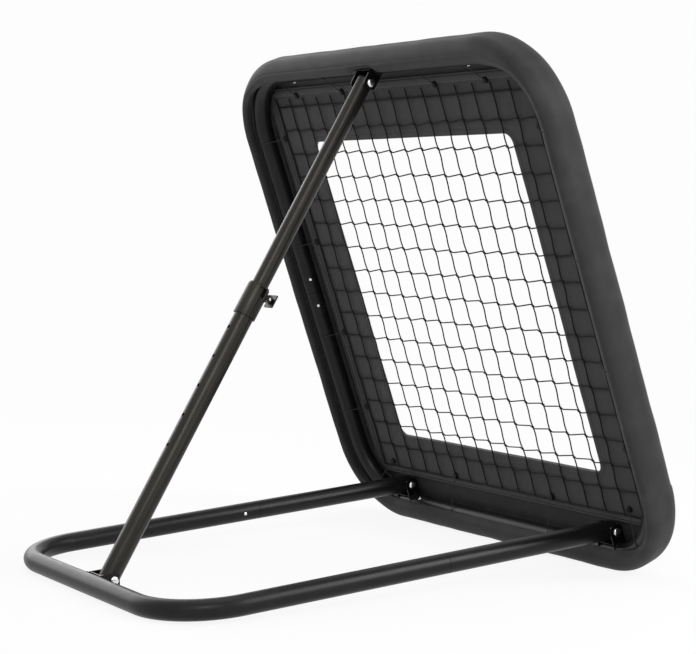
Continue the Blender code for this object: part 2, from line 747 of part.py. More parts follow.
def fork(name, inside, ear_width, pin_distance, ear_end, corner, boss=0.0, saddle=None):
    """Two ears and a web on a tube along X, whose centre is the local origin.

    The ears run along local Z to the pin and past it, and their feet are cut to the tube, or to
    a saddle of their own where it bends. A boss on the inner side of each ear stands in for a
    washer.
    """
    half, end = ear_width / 2, pin_distance + ear_end
    outline = bent_path([(-half, 0, 0), (-half, end, 0), (half, end, 0), (half, 0, 0)], corner, 4)
    outline = [(point[0], point[1]) for point in outline]
    width = inside + 2 * EAR_THICK
    piece = side_plate(name, [outline], width)
    reach = end + 0.01

    def bore(tool):
        tool.parent = piece
        tool.rotation_euler = TURN_LEFT
        tool.location = (0, 0, pin_distance)
        return tool

    tools = [box(f"{name}_slot", (-inside / 2, -reach, WEB_SEAT + WEB_THICK), (inside / 2, reach, reach)),
             box(f"{name}_under", (-inside / 2, -reach, -reach), (inside / 2, reach, WEB_SEAT))]
    if saddle is None:
        tools.append(round_bar(f"{name}_saddle", WEB_SEAT, -width, width, TUBE_SIDES * 2))
        tools[-1].rotation_euler = TURN_LEFT
    else:
        cut(piece, saddle)
    for tool in tools:
        tool.parent = piece
        cut(piece, tool)
    if boss:
        for side_name, side in SIDES:
            ends = sorted((side * (inside / 2 - boss), side * (inside / 2 + EAR_THICK / 2)))
            join(piece, bore(round_bar(f"{name}_boss_{side_name}", BOSS_D / 2, *ends, 16)))
    cut(piece, bore(round_bar(f"{name}_pin_hole", PIN_HOLE_R, -width, width, 14)))
    return finish(piece, BRACKET_BLACK)


def bolt(name, half_width, shank_end):
    """A domed bolt along local Z, its head's seat half a width above the origin."""
    head, shank, seat = BOLT_HEAD_D / 2, BOLT_D / 2, half_width + GAP
    dome = arc((0, seat + 0.0008), head, 90, 0, 5, BOLT_HEAD_HIGH - 0.0008)
    dome[0] = (0, seat + BOLT_HEAD_HIGH)
    profile = dome + [(head, seat), (shank, seat), (shank, shank_end), (0, shank_end)]
    return finish(turned(name, profile, 16), ZINC)


def cap_nut(name, half_width, stub_end=None):
    """A six-sided cap nut along local Z: bored for a bolt, or with a stub that stands in its ear."""
    corner, seat = NUT_ACROSS_D / 2, half_width + GAP
    profile = [(0, seat + NUT_HIGH + 0.0040), (corner * 0.45, seat + NUT_HIGH + 0.0034),
               (corner * 0.75, seat + NUT_HIGH + 0.0016), (corner * 0.86, seat + NUT_HIGH),
               (corner, seat + NUT_HIGH - 0.0008), (corner, seat)]
    if stub_end is None:
        bore = (BOLT_D / 2 + PIN_PLAY) / math.cos(math.pi / 6)
        profile += [(bore, seat), (bore, seat + NUT_HIGH), (0, seat + NUT_HIGH)]
    else:
        profile += [(BOLT_D / 2, seat), (BOLT_D / 2, stub_end), (0, stub_end)]
    return finish(turned(name, profile, 6), ZINC)


NUT_BITE = NUT_HIGH - 0.0012


def hinge(side_name, side):
    x = side * HALF_LEGS
    bracket = fork(f"hinge_bracket_{side_name}", HINGE_INSIDE, HINGE_EAR_WIDTH, HINGE_RISE,
                   HINGE_EAR_END, HINGE_EAR_CORNER, SIDE_PLAY - GAP, ring_bar(f"hinge_saddle_{side_name}", 0.0))
    on_hoop(bracket, x)
    half = HINGE_INSIDE / 2 + EAR_THICK
    on_hoop(bolt(f"hinge_bolt_{side_name}", half, -half - NUT_BITE), x, HINGE_REAR, HINGE_RISE, TURN_RIGHT)
    on_hoop(cap_nut(f"hinge_nut_{side_name}", half), x, HINGE_REAR, HINGE_RISE, TURN_LEFT)


def top_clevis():
    distance = math.hypot(PIVOT_DROP, PIVOT_REAR)
    turn = (math.atan2(-PIVOT_REAR, -PIVOT_DROP), 0, 0)
    clevis = fork("top_clevis", CLEVIS_INSIDE, CLEVIS_EAR_WIDTH, distance, CLEVIS_EAR_END, CLEVIS_CORNER,
                  (CLEVIS_INSIDE - UPPER_D) / 2 - GAP)
    on_hoop(clevis, 0, 0, HOOP_HEIGHT, turn)
    half = CLEVIS_INSIDE / 2 + EAR_THICK
    place = (0, PIVOT_REAR, HOOP_HEIGHT - PIVOT_DROP)
    on_hoop(bolt("top_bolt", half, -half - NUT_BITE), *place, TURN_RIGHT)
    on_hoop(cap_nut("top_nut", half), *place, TURN_LEFT)


# Base

def round_plug(name, end, bore, dome, depth):
    """An end plug along local Z: a dome past the tube's end and a stem with a hole for the bolt."""
    brim = end + GAP
    start = math.degrees(math.acos(brim / dome))
    points = arc((0, 0), dome, 0, start, 5)
    profile = [(z, x) for x, z in points]
    profile[0] = (0, dome)
    profile += [(bore - NEST_PLAY, brim), (bore - NEST_PLAY, -depth + 0.001), (bore - 0.0015, -depth), (0, -depth)]
    return finish(turned(name, profile, TUBE_SIDES), PLASTIC)


def cross_hole(obj, parent):
    """The bolt's hole across a tube or a plug, at the origin of its parent."""
    tool = round_bar(f"{obj.name}_bolt_hole", PIN_HOLE_R, -0.03, 0.03, 14)
    tool.parent = parent
    tool.location = (obj.location.x, 0, 0)
    tool.rotation_euler = TURN_LEFT
    cut(obj, tool)


def button_hole(obj, side):
    tool = round_bar(f"{obj.name}_button_hole", BUTTON_D / 2 + PIN_PLAY, SWAGE_R - 0.006, TUBE_R + 0.003, 12)
    on_base(tool, side * HALF_LEGS, LEG_SEAM + BUTTON_BACK, 0, aim((-side, 0, 0)))
    cut(obj, tool)


def base_leg(side_name, side):
    """A straight front tube whose rear end is reduced to enter the rear tube."""
    shoulder = 0.0015
    tip = LEG_SEAM + SWAGE_LENGTH
    profile = [(SWAGE_R - 0.0005, tip), (SWAGE_R, tip - 0.001), (SWAGE_R, LEG_SEAM), (TUBE_R, LEG_SEAM),
               (TUBE_R, -LEG_END), (BORE_R, -LEG_END), (BORE_R, LEG_SEAM - shoulder),
               (SWAGE_R - TUBE_WALL, LEG_SEAM + shoulder), (SWAGE_R - TUBE_WALL, tip)]
    leg = turned(f"base_leg_{side_name}", profile, 20, closed=True)
    on_base(leg, side * HALF_LEGS, 0, 0, TURN_REAR)
    cross_hole(leg, BASE_AXIS)
    button_hole(leg, side)
    finish(leg, POWDER_COAT)
    dome = math.hypot(TUBE_R - GAP, LEG_END + GAP)
    plug = round_plug(f"leg_plug_{side_name}", LEG_END, BORE_R, dome, PLUG_DEPTH)
    on_base(plug, side * HALF_LEGS, 0, 0, TURN_FRONT)
    cross_hole(plug, BASE_AXIS)


def base_rear_tube():
    start = LEG_SEAM + GAP
    corners = [(HALF_LEGS, start, 0), (HALF_LEGS, BASE_LENGTH, 0), (-HALF_LEGS, BASE_LENGTH, 0), (-HALF_LEGS, start, 0)]
    tube = bent_tube("base_rear_tube", bent_path(corners, BASE_BEND), TUBE_D, TUBE_WALL)
    on_base(tube)
    for side in (1, -1):
        button_hole(tube, side)
    return finish(smooth(tube), POWDER_COAT)


def snap_button(side_name, side):
    """A domed button with a flange inside the tube, seen from the inner side of the leg."""
    radius, flange = BUTTON_D / 2, BUTTON_FLANGE_D / 2
    top = TUBE_R + BUTTON_PROUD
    seat = math.sqrt((SWAGE_R - TUBE_WALL - GAP) ** 2 - flange ** 2) - GAP
    profile = [(0, top), (radius * 0.6, top - 0.0004), (radius * 0.93, top - 0.0014), (radius, TUBE_R),
               (radius, seat), (flange, seat), (flange, seat - 0.001), (0, seat - 0.001)]
    button = turned(f"snap_button_{side_name}", profile, 12)
    on_base(button, side * HALF_LEGS, LEG_SEAM + BUTTON_BACK, 0, aim((-side, 0, 0)))
    finish(button, ZINC)
    leaf_spring(side_name, side, seat - 0.001 - GAP - SPRING_THICK / 2)


def leaf_spring(side_name, side, reach):
    """A bent strip under the button that bears on the far wall of the tube."""
    wall = SWAGE_R - TUBE_WALL - GAP
    far = math.sqrt(wall ** 2 - (SPRING_WIDTH / 2) ** 2) - SPRING_THICK - GAP
    bend = SPRING_LENGTH - reach * 0.7
    points = [(reach, -0.004), (reach, 0.006)]
    points += arc((-0.001, bend), reach * 0.72, 30, 150, 6)
    points += [(-far, 0.010), (-far, -0.004)]
    curve = bpy.data.curves.new(f"snap_spring_{side_name}", "CURVE")
    curve.dimensions = "2D"
    curve.fill_mode = "NONE"
    curve.extrude = SPRING_WIDTH / 2
    add_spline(curve, [(-side * x, y) for x, y in points])
    spring = new_object(f"snap_spring_{side_name}", curve)
    strip = spring.modifiers.new("Strip", "SOLIDIFY")
    strip.thickness = SPRING_THICK
    strip.offset = 0.0
    on_base(spring, side * HALF_LEGS, LEG_SEAM + BUTTON_BACK, 0)
    return finish(spring, SPRING_STEEL)


def foot_bracket():
    """The fork at the rear tube: its bolt ends short of the foot, which leaves it when folding."""
    bracket = fork("foot_bracket", FOOT_INSIDE, CLEVIS_EAR_WIDTH, FOOT_REACH, CLEVIS_EAR_END, CLEVIS_CORNER)
    on_base(bracket, 0, BASE_LENGTH, 0, TURN_FRONT)
    half = FOOT_INSIDE / 2 + EAR_THICK
    stub = FOOT_INSIDE / 2 - FOOT_PLAY / 3
    place = (0, BASE_LENGTH - FOOT_REACH, 0)
    on_base(bolt("foot_bolt", half, stub), *place, TURN_RIGHT)
    on_base(cap_nut("foot_nut", half, stub), *place, TURN_LEFT)


# Prop

def prop_upper():
    top, bottom = PROP_END, -UPPER_LENGTH
    inner = UPPER_R - UPPER_WALL
    tube = turned("strut_upper_tube", [(UPPER_R, top), (UPPER_R, bottom), (inner, bottom), (inner, top)], 20, True)
    on_prop(tube, PROP_AXIS)
    cross_hole(tube, PROP_AXIS)
    finish(tube, PROP_PAINT)
    plug = round_plug("strut_top_plug", PROP_END, inner, UPPER_R + 0.0008, PLUG_DEPTH)
    on_prop(plug, PROP_AXIS)
    cross_hole(plug, PROP_AXIS)


def prop_lower():
    """The lower tube with its row of adjusting holes on the upper side."""
    profile = [(LOWER_R, LOWER_LENGTH), (LOWER_R, -PROP_END), (LOWER_BORE_R, -PROP_END), (LOWER_BORE_R, LOWER_LENGTH)]
    tube = turned("strut_lower_tube", profile, 20, closed=True)
    on_prop(tube, SLIDE_AXIS)
    cross_hole(tube, SLIDE_AXIS)
    for i in range(HOLE_COUNT):
        tool = round_bar(f"adjusting_hole_{i}", HOLE_D / 2, LOWER_BORE_R - 0.005, LOWER_R + 0.003, 12)
        on_prop(tool, SLIDE_AXIS, 0, 0, HOLE_TOP - i * HOLE_PITCH, TURN_REAR)
        cut(tube, tool)
    finish(tube, PROP_PAINT)
    plug = round_plug("strut_foot_plug", PROP_END, LOWER_BORE_R, LOWER_R + 0.0006, PLUG_DEPTH)
    on_prop(plug, SLIDE_AXIS, turn=(math.pi, 0, 0))
    cross_hole(plug, SLIDE_AXIS)


def collar():
    """A split sleeve over the end of the lower tube, with a window and two lugs for the lever."""
    low, high = LOWER_LENGTH - COLLAR_BELOW, LOWER_LENGTH + COLLAR_ABOVE
    outer, edge = COLLAR_D / 2, COLLAR_EDGE
    wide, narrow = LOWER_R + NEST_PLAY, UPPER_R + NEST_PLAY
    shoulder = LOWER_LENGTH + GAP
    profile = [(outer - edge, high), (outer, high - edge), (outer, low + edge), (outer - edge, low),
               (wide, low), (wide, shoulder), (narrow, shoulder + COLLAR_SHOULDER), (narrow, high)]
    piece = turned("strut_collar", profile, 24, closed=True)
    on_prop(piece, SLIDE_AXIS)
    middle = LOWER_LENGTH + LEVER_RISE
    lugs = lever_lugs()
    on_prop(lugs, SLIDE_AXIS, 0, -LEVER_PIN_REACH, middle)
    join(piece, lugs)
    slot_middle = LOWER_LENGTH + SLOT_RISE
    window = box("collar_window", (-COLLAR_D, -SLOT_WIDTH / 2, slot_middle - SLOT_HEIGHT / 2),
                 (-narrow / 2, SLOT_WIDTH / 2, slot_middle + SLOT_HEIGHT / 2))
    split = box("collar_split", (-COLLAR_D, -SPLIT_WIDTH / 2, low - 0.01), (-narrow / 2, SPLIT_WIDTH / 2, slot_middle))
    for tool in (window, split):
        on_prop(tool, SLIDE_AXIS)
        cut(piece, tool)
    return finish(piece, PROP_PAINT)


def lever_lugs():
    """Two lugs about the lever's pin, as one block with the lever's slot through it."""
    half, end = LUG_HALF_HIGH, -LUG_END
    root = LEVER_PIN_REACH - (COLLAR_D / 2 + UPPER_R + NEST_PLAY) / 2
    outline = [(root, -half), (root, half), (end / 2, half), (end, half / 2), (end, -half / 2), (end / 2, -half)]
    hole = circle((0, 0), LEVER_PIN_D / 2 + PIN_PLAY, 10)
    block = side_plate("lever_lugs", [outline, hole], LUG_OUTER)
    inside = LUG_OUTER / 2 - LUG_THICK
    clear = LEVER_PIN_REACH - COLLAR_D / 2 + 0.0002
    slot = box("lever_lugs_slot", (-inside, 2 * end, -2 * half), (inside, clear, 2 * half))
    slot.parent = block
    cut(block, slot)
    return block


def clip_pin():
    half, radius, head = LUG_OUTER / 2 + GAP, LEVER_PIN_D / 2, LEVER_PIN_D / 2 + 0.0010
    profile = [(0, half + 0.0012), (head * 0.8, half + 0.0012), (head, half + 0.0006), (head, half), (radius, half),
               (radius, -half), (head, -half), (head, -half - 0.0006), (head * 0.8, -half - 0.0012), (0, -half - 0.0012)]
    pin = turned("clip_pin", profile, 12)
    on_prop(pin, SLIDE_AXIS, 0, -LEVER_PIN_REACH, LOWER_LENGTH + LEVER_RISE, TURN_LEFT)
    return finish(pin, ZINC)


def clip_spring():
    """A short coil round the pin, between the lever's hub and a lug."""
    start = LEVER_HUB_WIDTH / 2 + COIL_WIRE_D / 2 + GAP
    end = LUG_OUTER / 2 - LUG_THICK - COIL_WIRE_D / 2 - GAP
    count = round(COIL_TURNS * 10)
    radius = (COIL_D - COIL_WIRE_D) / 2
    route = []
    for i in range(count + 1):
        angle = math.tau * COIL_TURNS * i / count
        route.append((start + (end - start) * i / count, radius * math.cos(angle), radius * math.sin(angle)))
    coil = rod("clip_spring", [route], COIL_WIRE_D, 1)
    on_prop(coil, SLIDE_AXIS, 0, -LEVER_PIN_REACH, LOWER_LENGTH + LEVER_RISE)
    return finish(coil, SPRING_STEEL)


def clip_lever():
    """A hub on the pin, an arm and an upturned paddle."""
    hub, face = LEVER_HUB_D / 2, LEVER_PIN_REACH - LEVER_REACH
    inner = face + LEVER_THICK
    arm = LEVER_THICK * 0.8
    outline = [(inner - LEVER_THICK / 2, -arm), (-hub * 0.7, -hub * 0.72)]
    outline += arc((0, 0), hub, -90, 90, 6)
    outline += [(-hub * 0.7, hub * 0.72), (inner - LEVER_THICK / 2, arm)]
    lever = side_plate("clip_lever", [outline, circle((0, 0), LEVER_PIN_D / 2 + PIN_PLAY, 10)], LEVER_HUB_WIDTH)
    on_prop(lever, LEVER_AXIS)
    paddle = box("lever_paddle", (-PADDLE_WIDTH / 2, face, -PADDLE_BELOW), (PADDLE_WIDTH / 2, inner, PADDLE_ABOVE))
    on_prop(paddle, LEVER_AXIS)
    join(lever, paddle)
    return finish(lever, PROP_PAINT)


def build():
    ring_tube("ring_tube_upper", SPLICE_HEIGHT + GAP / 2, HOOP_HEIGHT)
    ring_tube("ring_tube_lower", SPLICE_HEIGHT - GAP / 2, 0.0)
    for side_name, side in SIDES:
        splice_sleeve(f"splice_sleeve_{side_name}", side)
        splice_rivet(f"splice_rivet_{side_name}_upper", side, RIVET_SPACING / 2)
        splice_rivet(f"splice_rivet_{side_name}_lower", side, -RIVET_SPACING / 2)
        hinge(side_name, side)
        base_leg(side_name, side)
        snap_button(side_name, side)
    for corner_name, place, direction in screw_places():
        bumper_screw(f"bumper_screw_{corner_name}", place, direction)
    ring_bumper()
    border_panel()
    net()
    for edge in EDGES:
        for number, place in enumerate(edge.places, 1):
            tie(f"tie_{edge.name}_{number}", edge, place)
    top_clevis()
    base_rear_tube()
    foot_bracket()
    prop_upper()
    prop_lower()
    collar()
    clip_pin()
    clip_spring()
    clip_lever()


build()
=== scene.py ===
"""The looks of a folding ball rebounder, seen from behind: a leaning tube hoop with a padded edge,
a framed net, a hinged tube base and a telescopic prop. All sizes are in metres."""

import json
import math

import bmesh
import bpy
import numpy as np
from bpy.props import FloatProperty, FloatVectorProperty, IntProperty, PointerProperty
from mathutils import Matrix


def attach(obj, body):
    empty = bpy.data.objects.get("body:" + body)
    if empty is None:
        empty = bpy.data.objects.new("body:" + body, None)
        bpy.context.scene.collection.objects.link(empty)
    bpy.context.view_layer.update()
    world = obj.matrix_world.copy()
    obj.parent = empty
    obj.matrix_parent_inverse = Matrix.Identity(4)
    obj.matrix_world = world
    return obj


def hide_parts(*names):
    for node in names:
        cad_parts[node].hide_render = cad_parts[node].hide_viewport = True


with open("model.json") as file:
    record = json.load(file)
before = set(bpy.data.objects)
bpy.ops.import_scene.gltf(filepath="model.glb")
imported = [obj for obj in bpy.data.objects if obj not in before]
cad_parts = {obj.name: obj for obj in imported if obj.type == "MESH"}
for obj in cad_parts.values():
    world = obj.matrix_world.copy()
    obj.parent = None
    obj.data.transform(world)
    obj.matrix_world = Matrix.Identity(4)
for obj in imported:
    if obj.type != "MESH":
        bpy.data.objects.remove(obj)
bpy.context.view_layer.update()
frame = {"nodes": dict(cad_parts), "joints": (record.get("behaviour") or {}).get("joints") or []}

bl_info = {
    "name": "Folding ball rebounder",
    "version": (1, 0, 0),
    "blender": (4, 5, 0),
    "location": "3D View > Sidebar > Rebounder",
    "description": "Builds the detailed surfaces and finishes of a folding ball rebounder",
    "category": "Add Mesh",
}

# Places of the hoop, the base and the prop

PIVOT = {joint["name"]: np.array(joint["pos_m"]) for joint in frame["joints"] if "pos_m" in joint}
HOOP_LEAN = math.radians(19.39)
BASE_SLOPE = math.radians(3.547)
HINGE_RISE = 0.036          # from the bottom tube's centre to the hinge bolts, along the hoop
FOOT_REACH = 0.038          # from the foot's bolt to the rear tube's centre
BASE_LENGTH = 0.7956        # from the hinge bolts to the rear tube's centre

# Sizes that several pieces share

GAP = 0.0003                # between pieces that touch
PLAY = 0.0004               # round a pin in its hole and round a tube in another
TUBE_R = 0.016              # hoop and base tubes
WALL = 0.0015
TUBE_BORE = TUBE_R - WALL
NEST_R = 0.0141             # what fits into those tubes
HALF_HOOP = 0.420           # on the tube's centreline
HOOP_HEIGHT = 0.842
HOOP_BEND = 0.120
SPLICE = 0.4205             # height of the hoop's two splices
HALF_LEGS = 0.2927
PANEL = (0.396, 0.050, 0.808)           # half its width, its foot and its top
WINDOW = (0.292, 0.129, 0.708)
PANEL_BEND = 0.030
WINDOW_BEND = 0.017
PANEL_PLACE = -0.0194       # behind the hoop's centreline
NET_PLACE = -0.0159
LOWER_R = 0.01625           # the prop's lower and upper tubes
UPPER_R = 0.0138
LOWER_LENGTH = 0.500        # from the foot's bolt to the lower tube's end
BOLT_R = 0.004
EAR_THICK = 0.0025
SIDES = (("left", 1), ("right", -1))
REAR = (0, 1, 0)


class Axes:
    """A place with its own directions: x across, y to the rear and z up, turned back about x."""

    def __init__(self, origin, lean):
        cos, sin = math.cos(lean), math.sin(lean)
        self.origin = np.asarray(origin, float)
        self.rows = np.array(((1, 0, 0), (0, cos, -sin), (0, sin, cos)))

    def points(self, local):
        """Local points in the part's frame: the origin plus each number times its direction."""
        return self.origin + np.asarray(local, float) @ self.rows

    def way(self, *local):
        return np.array(local, float) @ self.rows


HINGE = PIVOT["ring_fold"]
HOOP = Axes(HINGE - HINGE_RISE * np.array((0, math.sin(HOOP_LEAN), math.cos(HOOP_LEAN))), HOOP_LEAN)
BASE = Axes(HINGE, BASE_SLOPE)
FOOT = BASE.points((0, BASE_LENGTH - FOOT_REACH, 0))
TOP = PIVOT["strut_swing"]
PROP_LENGTH = float(np.linalg.norm(TOP - FOOT))
PROP_LEAN = math.atan2(TOP[1] - FOOT[1], TOP[2] - FOOT[2])
PROP = Axes(FOOT, PROP_LEAN)


# Sizes and colours that can be changed

def length(name, what, default, low, high):
    return FloatProperty(name=name, description=what, default=default, min=low, max=high, unit="LENGTH")


def power(name, what, default):
    return FloatProperty(name=name, description=what, default=default, min=0, subtype="POWER", unit="POWER")


def colour(name, what, default):
    return FloatVectorProperty(name=name, description=what, default=default, min=0, max=1,
                               subtype="COLOR", size=3)


class NetSizes(bpy.types.PropertyGroup):
    cord: length("Cord", "Diameter of the net's cord", 0.0023, 0.0005, 0.004)
    knot: length("Knot", "Diameter of a knot", 0.0050, 0.001, 0.009)
    step: length("Step", "How far a level cord steps down at a knot", 0.0055, 0, 0.008)
    bow: length("Bow", "How far an upright cord bows between knots", 0.0011, 0, 0.005)
    gaps: IntProperty(name="Gaps", description="Gaps of the net each way", default=16, min=4, max=30)


class SoftSizes(bpy.types.PropertyGroup):
    swell: length("Swell", "Unevenness of the padded edge", 0.0005, 0, 0.002)
    seam: length("Seam", "Depth of the padded edge's seam", 0.0009, 0, 0.002)
    ripple: length("Ripple", "Ripples of the stretched cloth", 0.0007, 0, 0.003)
    stitch: length("Stitch", "Length from one stitch to the next", 0.0040, 0.002, 0.01)


class Colours(bpy.types.PropertyGroup):
    powder: colour("Powder coat", "Hoop and base tubes", (0.0065, 0.0065, 0.0068))
    bracket: colour("Bracket paint", "Brackets and clevis", (0.0040, 0.0040, 0.0043))
    prop: colour("Prop paint", "Prop tubes and collar", (0.030, 0.0275, 0.0245))
    skin: colour("Edge skin", "Skin of the padded edge", (0.030, 0.0296, 0.0303))
    cloth: colour("Cloth", "Border panel", (0.030, 0.0294, 0.0306))
    thread: colour("Thread", "Stitching", (0.030, 0.0294, 0.0306))
    net: colour("Net", "Net cord", (0.0055, 0.0055, 0.0055))
    elastic: colour("Elastic", "Tie cords", (0.030, 0.030, 0.031))
    plastic: colour("Plastic", "Plugs and toggles", (0.005, 0.005, 0.0053))
    zinc: colour("Zinc", "Bolts, nuts and rivets", (0.78, 0.78, 0.80))
    steel: colour("Spring steel", "Springs", (0.45, 0.45, 0.46))


class Studio(bpy.types.PropertyGroup):
    top: power("Top lamp", "Power of the large lamp overhead", 16)
    front: power("Front lamp", "Power of the lamp at the front right", 85)
    rear: power("Rear lamp", "Power of the lamp at the rear right", 30)
    left: power("Left lamp", "Power of the long lamp at the left", 50)
    fill: FloatProperty(name="Room light", description="Light from all round", default=0.55, min=0, max=2)
    lens: FloatProperty(name="Lens", description="Focal length in millimetres", default=96.97,
                        min=20, max=300)


# Points on lines, sections and routes

def unit(vector):
    return vector / np.linalg.norm(vector, axis=-1, keepdims=True)


def eased(share):
    """A share from 0 to 1 with level ends: 3 s squared less 2 s cubed."""
    return share * share * (3 - 2 * share)


def arc(centre, start, end, steps, radius, rise=None):
    """Part of an ellipse: centre plus (radius cos a, rise sin a), with a even from start to end degrees."""
    a = np.radians(np.linspace(start, end, steps + 1))
    rise = radius if rise is None else rise
    return np.asarray(centre) + np.stack([radius * np.cos(a), rise * np.sin(a)], -1)


def ring(radius, sides):
    return arc((0, 0), 0, 360, sides, radius)[:-1]


def rectangle(left, low, right, high):
    return np.array(((left, low), (right, low), (right, high), (left, high)))


def bent(corners, radius, steps, loop=False):
    """A route through corners with each one rounded: a point of a corner is its centre plus the arc's start
    and end arms, mixed as sines of the angles left and passed over the sine of the whole turn."""
    corners = np.asarray(corners, float)
    count = len(corners)
    share = np.linspace(0, 1, steps + 1)[:, None]
    parts = [] if loop else [corners[:1]]
    for k in range(count) if loop else range(1, count - 1):
        here = corners[k]
        back, on = unit(corners[k - 1] - here), unit(corners[(k + 1) % count] - here)
        half = math.acos(np.clip(back @ on, -1, 1)) / 2
        turn = math.pi - 2 * half
        if turn < 1e-4:
            parts.append(here[None])
            continue
        centre = here + unit(back + on) * radius / math.sin(half)
        start, end = (here + way * radius / math.tan(half) - centre for way in (back, on))
        arms = np.sin((1 - share) * turn) * start + np.sin(share * turn) * end
        parts.append(centre + arms / math.sin(turn))
    return np.concatenate(parts if loop else parts + [corners[-1:]])


def spread(path, step, loop=False):
    """The same route with points no further apart than a step: each stretch is divided evenly."""
    starts, ends = (path, np.roll(path, -1, 0)) if loop else (path[:-1], path[1:])
    counts = np.maximum(1, np.ceil(np.linalg.norm(ends - starts, axis=1) / step)).astype(int)
    index = np.repeat(np.arange(len(counts)), counts)
    share = (np.arange(len(index)) - np.repeat(np.cumsum(counts) - counts, counts)) / counts[index]
    points = starts[index] + share[:, None] * (ends - starts)[index]
    return points if loop else np.concatenate([points, path[-1:]])


def outline(size, radius, steps=8, along=72):
    """A rectangle with round corners in the hoop's plane, (x, height): for each corner its arc, then even
    steps to the next one. Two outlines with the same counts match point by point."""
    half, low, high = size
    arcs = bent(rectangle(-half, low, half, high), radius, steps, loop=True).reshape(4, steps + 1, 2)
    share = np.linspace(0, 1, along + 1)[1:-1, None, None]
    sides = arcs[:, -1] + share * (np.roll(arcs[:, 0], -1, 0) - arcs[:, -1])
    return np.concatenate([arcs, sides.swapaxes(0, 1)], axis=1).reshape(-1, 2)


def grown(size, more):
    """An outline's size with each edge moved outwards."""
    half, low, high = size
    return half + more, low - more, high + more


def in_hoop(points, rear):
    """Points (x, height) of the hoop's plane at a distance behind it, as (x, rear, height)."""
    return np.insert(points, 1, rear, axis=-1)


# Surfaces

def carried(path, profile, side, loop=False):
    """A profile carried along a path: path point + first number x across + second number x up, where
    across is side x tangent, and up is tangent x across."""
    tangent = unit(np.roll(path, -1, 0) - np.roll(path, 1, 0) if loop else np.gradient(path, axis=0))
    across = unit(np.cross(np.broadcast_to(side, tangent.shape), tangent))
    up = np.cross(tangent, across)
    profile = np.asarray(profile)
    return path[:, None] + profile[..., 0, None] * across[:, None] + profile[..., 1, None] * up[:, None]


def spun(radius, height, centre, axis, sides=32):
    """A profile spun about an axis: centre + radius (cos a x first + sin a x second) + height x axis. The
    radius is one number for each height, or one for each height and angle."""
    axis = unit(np.asarray(axis, float))
    first = unit(np.cross(axis, (0.0, 0.0, 1.0) if abs(axis[0]) > 0.9 else (1.0, 0.0, 0.0)))
    a = np.linspace(0, math.tau, sides, endpoint=False)[:, None]
    spoke = np.cos(a) * first + np.sin(a) * np.cross(axis, first)
    radius = np.asarray(radius, float)
    radius = radius[:, None] if radius.ndim == 1 else radius
    return np.asarray(centre) + radius[..., None] * spoke + np.asarray(height)[:, None, None] * axis


def walked(line, loop):
    """The distance walked along a line of points at each one, and round to the start where it loops."""
    line = np.concatenate([line, line[:1]]) if loop else line
    return np.concatenate([[0], np.cumsum(np.linalg.norm(np.diff(line, axis=0), axis=1))])


class Shape:
    """Grids of points gathered into one mesh. Its UV map holds lengths along the surface in metres."""

    def __init__(self, axes=None):
        self.axes = axes
        self.parts = []
        self.faces = []
        self.uvs = []
        self.count = 0

    def grid(self, points, loop_u, loop_v, caps=False, uv=None):
        """Joins each point to its neighbours both ways, and round again where the grid loops."""
        rows, columns = points.shape[:2]
        steps = np.arange(rows - (not loop_u)), np.arange(columns - (not loop_v))
        i, j = np.meshgrid(*steps, indexing="ij")
        corners = [(i, j), (i, j + 1), (i + 1, j + 1), (i + 1, j)]
        quads = np.stack([(a % rows) * columns + b % columns for a, b in corners], -1).reshape(-1, 4)
        if uv is None:
            u, v = walked(points.mean(axis=1), loop_u), walked(points[rows // 2], loop_v)
            places = [np.stack([u[a], v[b]], -1) for a, b in corners]
        else:
            places = [uv[a % rows, b % columns] for a, b in corners]
        self.faces += (quads + self.count).tolist()
        self.uvs.append(np.stack(places, -2).reshape(-1, 2))
        if caps:
            first = np.arange(columns) + self.count
            self.faces += [first[::-1].tolist(), (first + (rows - 1) * columns).tolist()]
            self.uvs.append(np.zeros((2 * columns, 2)))
        self.parts.append(points.reshape(-1, 3))
        self.count += rows * columns
        return self

    def rod(self, path, radius, side, sides=12, loop=False):
        """A round rod along a path."""
        return self.grid(carried(path, ring(radius, sides), side, loop), loop, True, not loop)

    def pipe(self, path, outer, inner, side, sides=48):
        """An open-ended tube along a path: its outer wall, then its inner wall back to the start."""
        walls = [carried(path, ring(radius, sides), side) for radius in (outer, inner)]
        return self.grid(np.concatenate([walls[0], walls[1][::-1]]), True, True)

    def plate(self, edge, thickness, centre, first, second):
        """A flat plate: its edge as (first, second) distances from a centre, pushed half its thickness
        each way."""
        first, second = np.asarray(first, float), np.asarray(second, float)
        flat = np.asarray(centre) + edge[:, 0, None] * first + edge[:, 1, None] * second
        lift = np.cross(first, second) * thickness / 2
        return self.grid(np.stack([flat - lift, flat + lift]), False, True, True)

    def mesh(self, name):
        points = np.concatenate(self.parts)
        if self.axes:
            points = self.axes.points(points)
        mesh = bpy.data.meshes.new(name)
        mesh.from_pydata(points.tolist(), [], self.faces)
        mesh.uv_layers.new(name="metres").data.foreach_set("uv", np.concatenate(self.uvs).ravel())
        shape = bmesh.new()
        shape.from_mesh(mesh)
        bmesh.ops.remove_doubles(shape, verts=shape.verts, dist=1e-6)
        bmesh.ops.recalc_face_normals(shape, faces=shape.faces)
        shape.to_mesh(mesh)
        shape.free()
        return mesh

    def tool(self, name="tool"):
        obj = bpy.data.objects.new(name, self.mesh(name))
        bpy.context.scene.collection.objects.link(obj)
        return obj


def lathe(name, profile, centre, axis, sides=32, loop=False):
    """An object spun from its profile of (radius, height) points."""
    profile = np.asarray(profile)
    return Shape().grid(spun(profile[:, 0], profile[:, 1], centre, axis, sides), loop, True).tool(name)


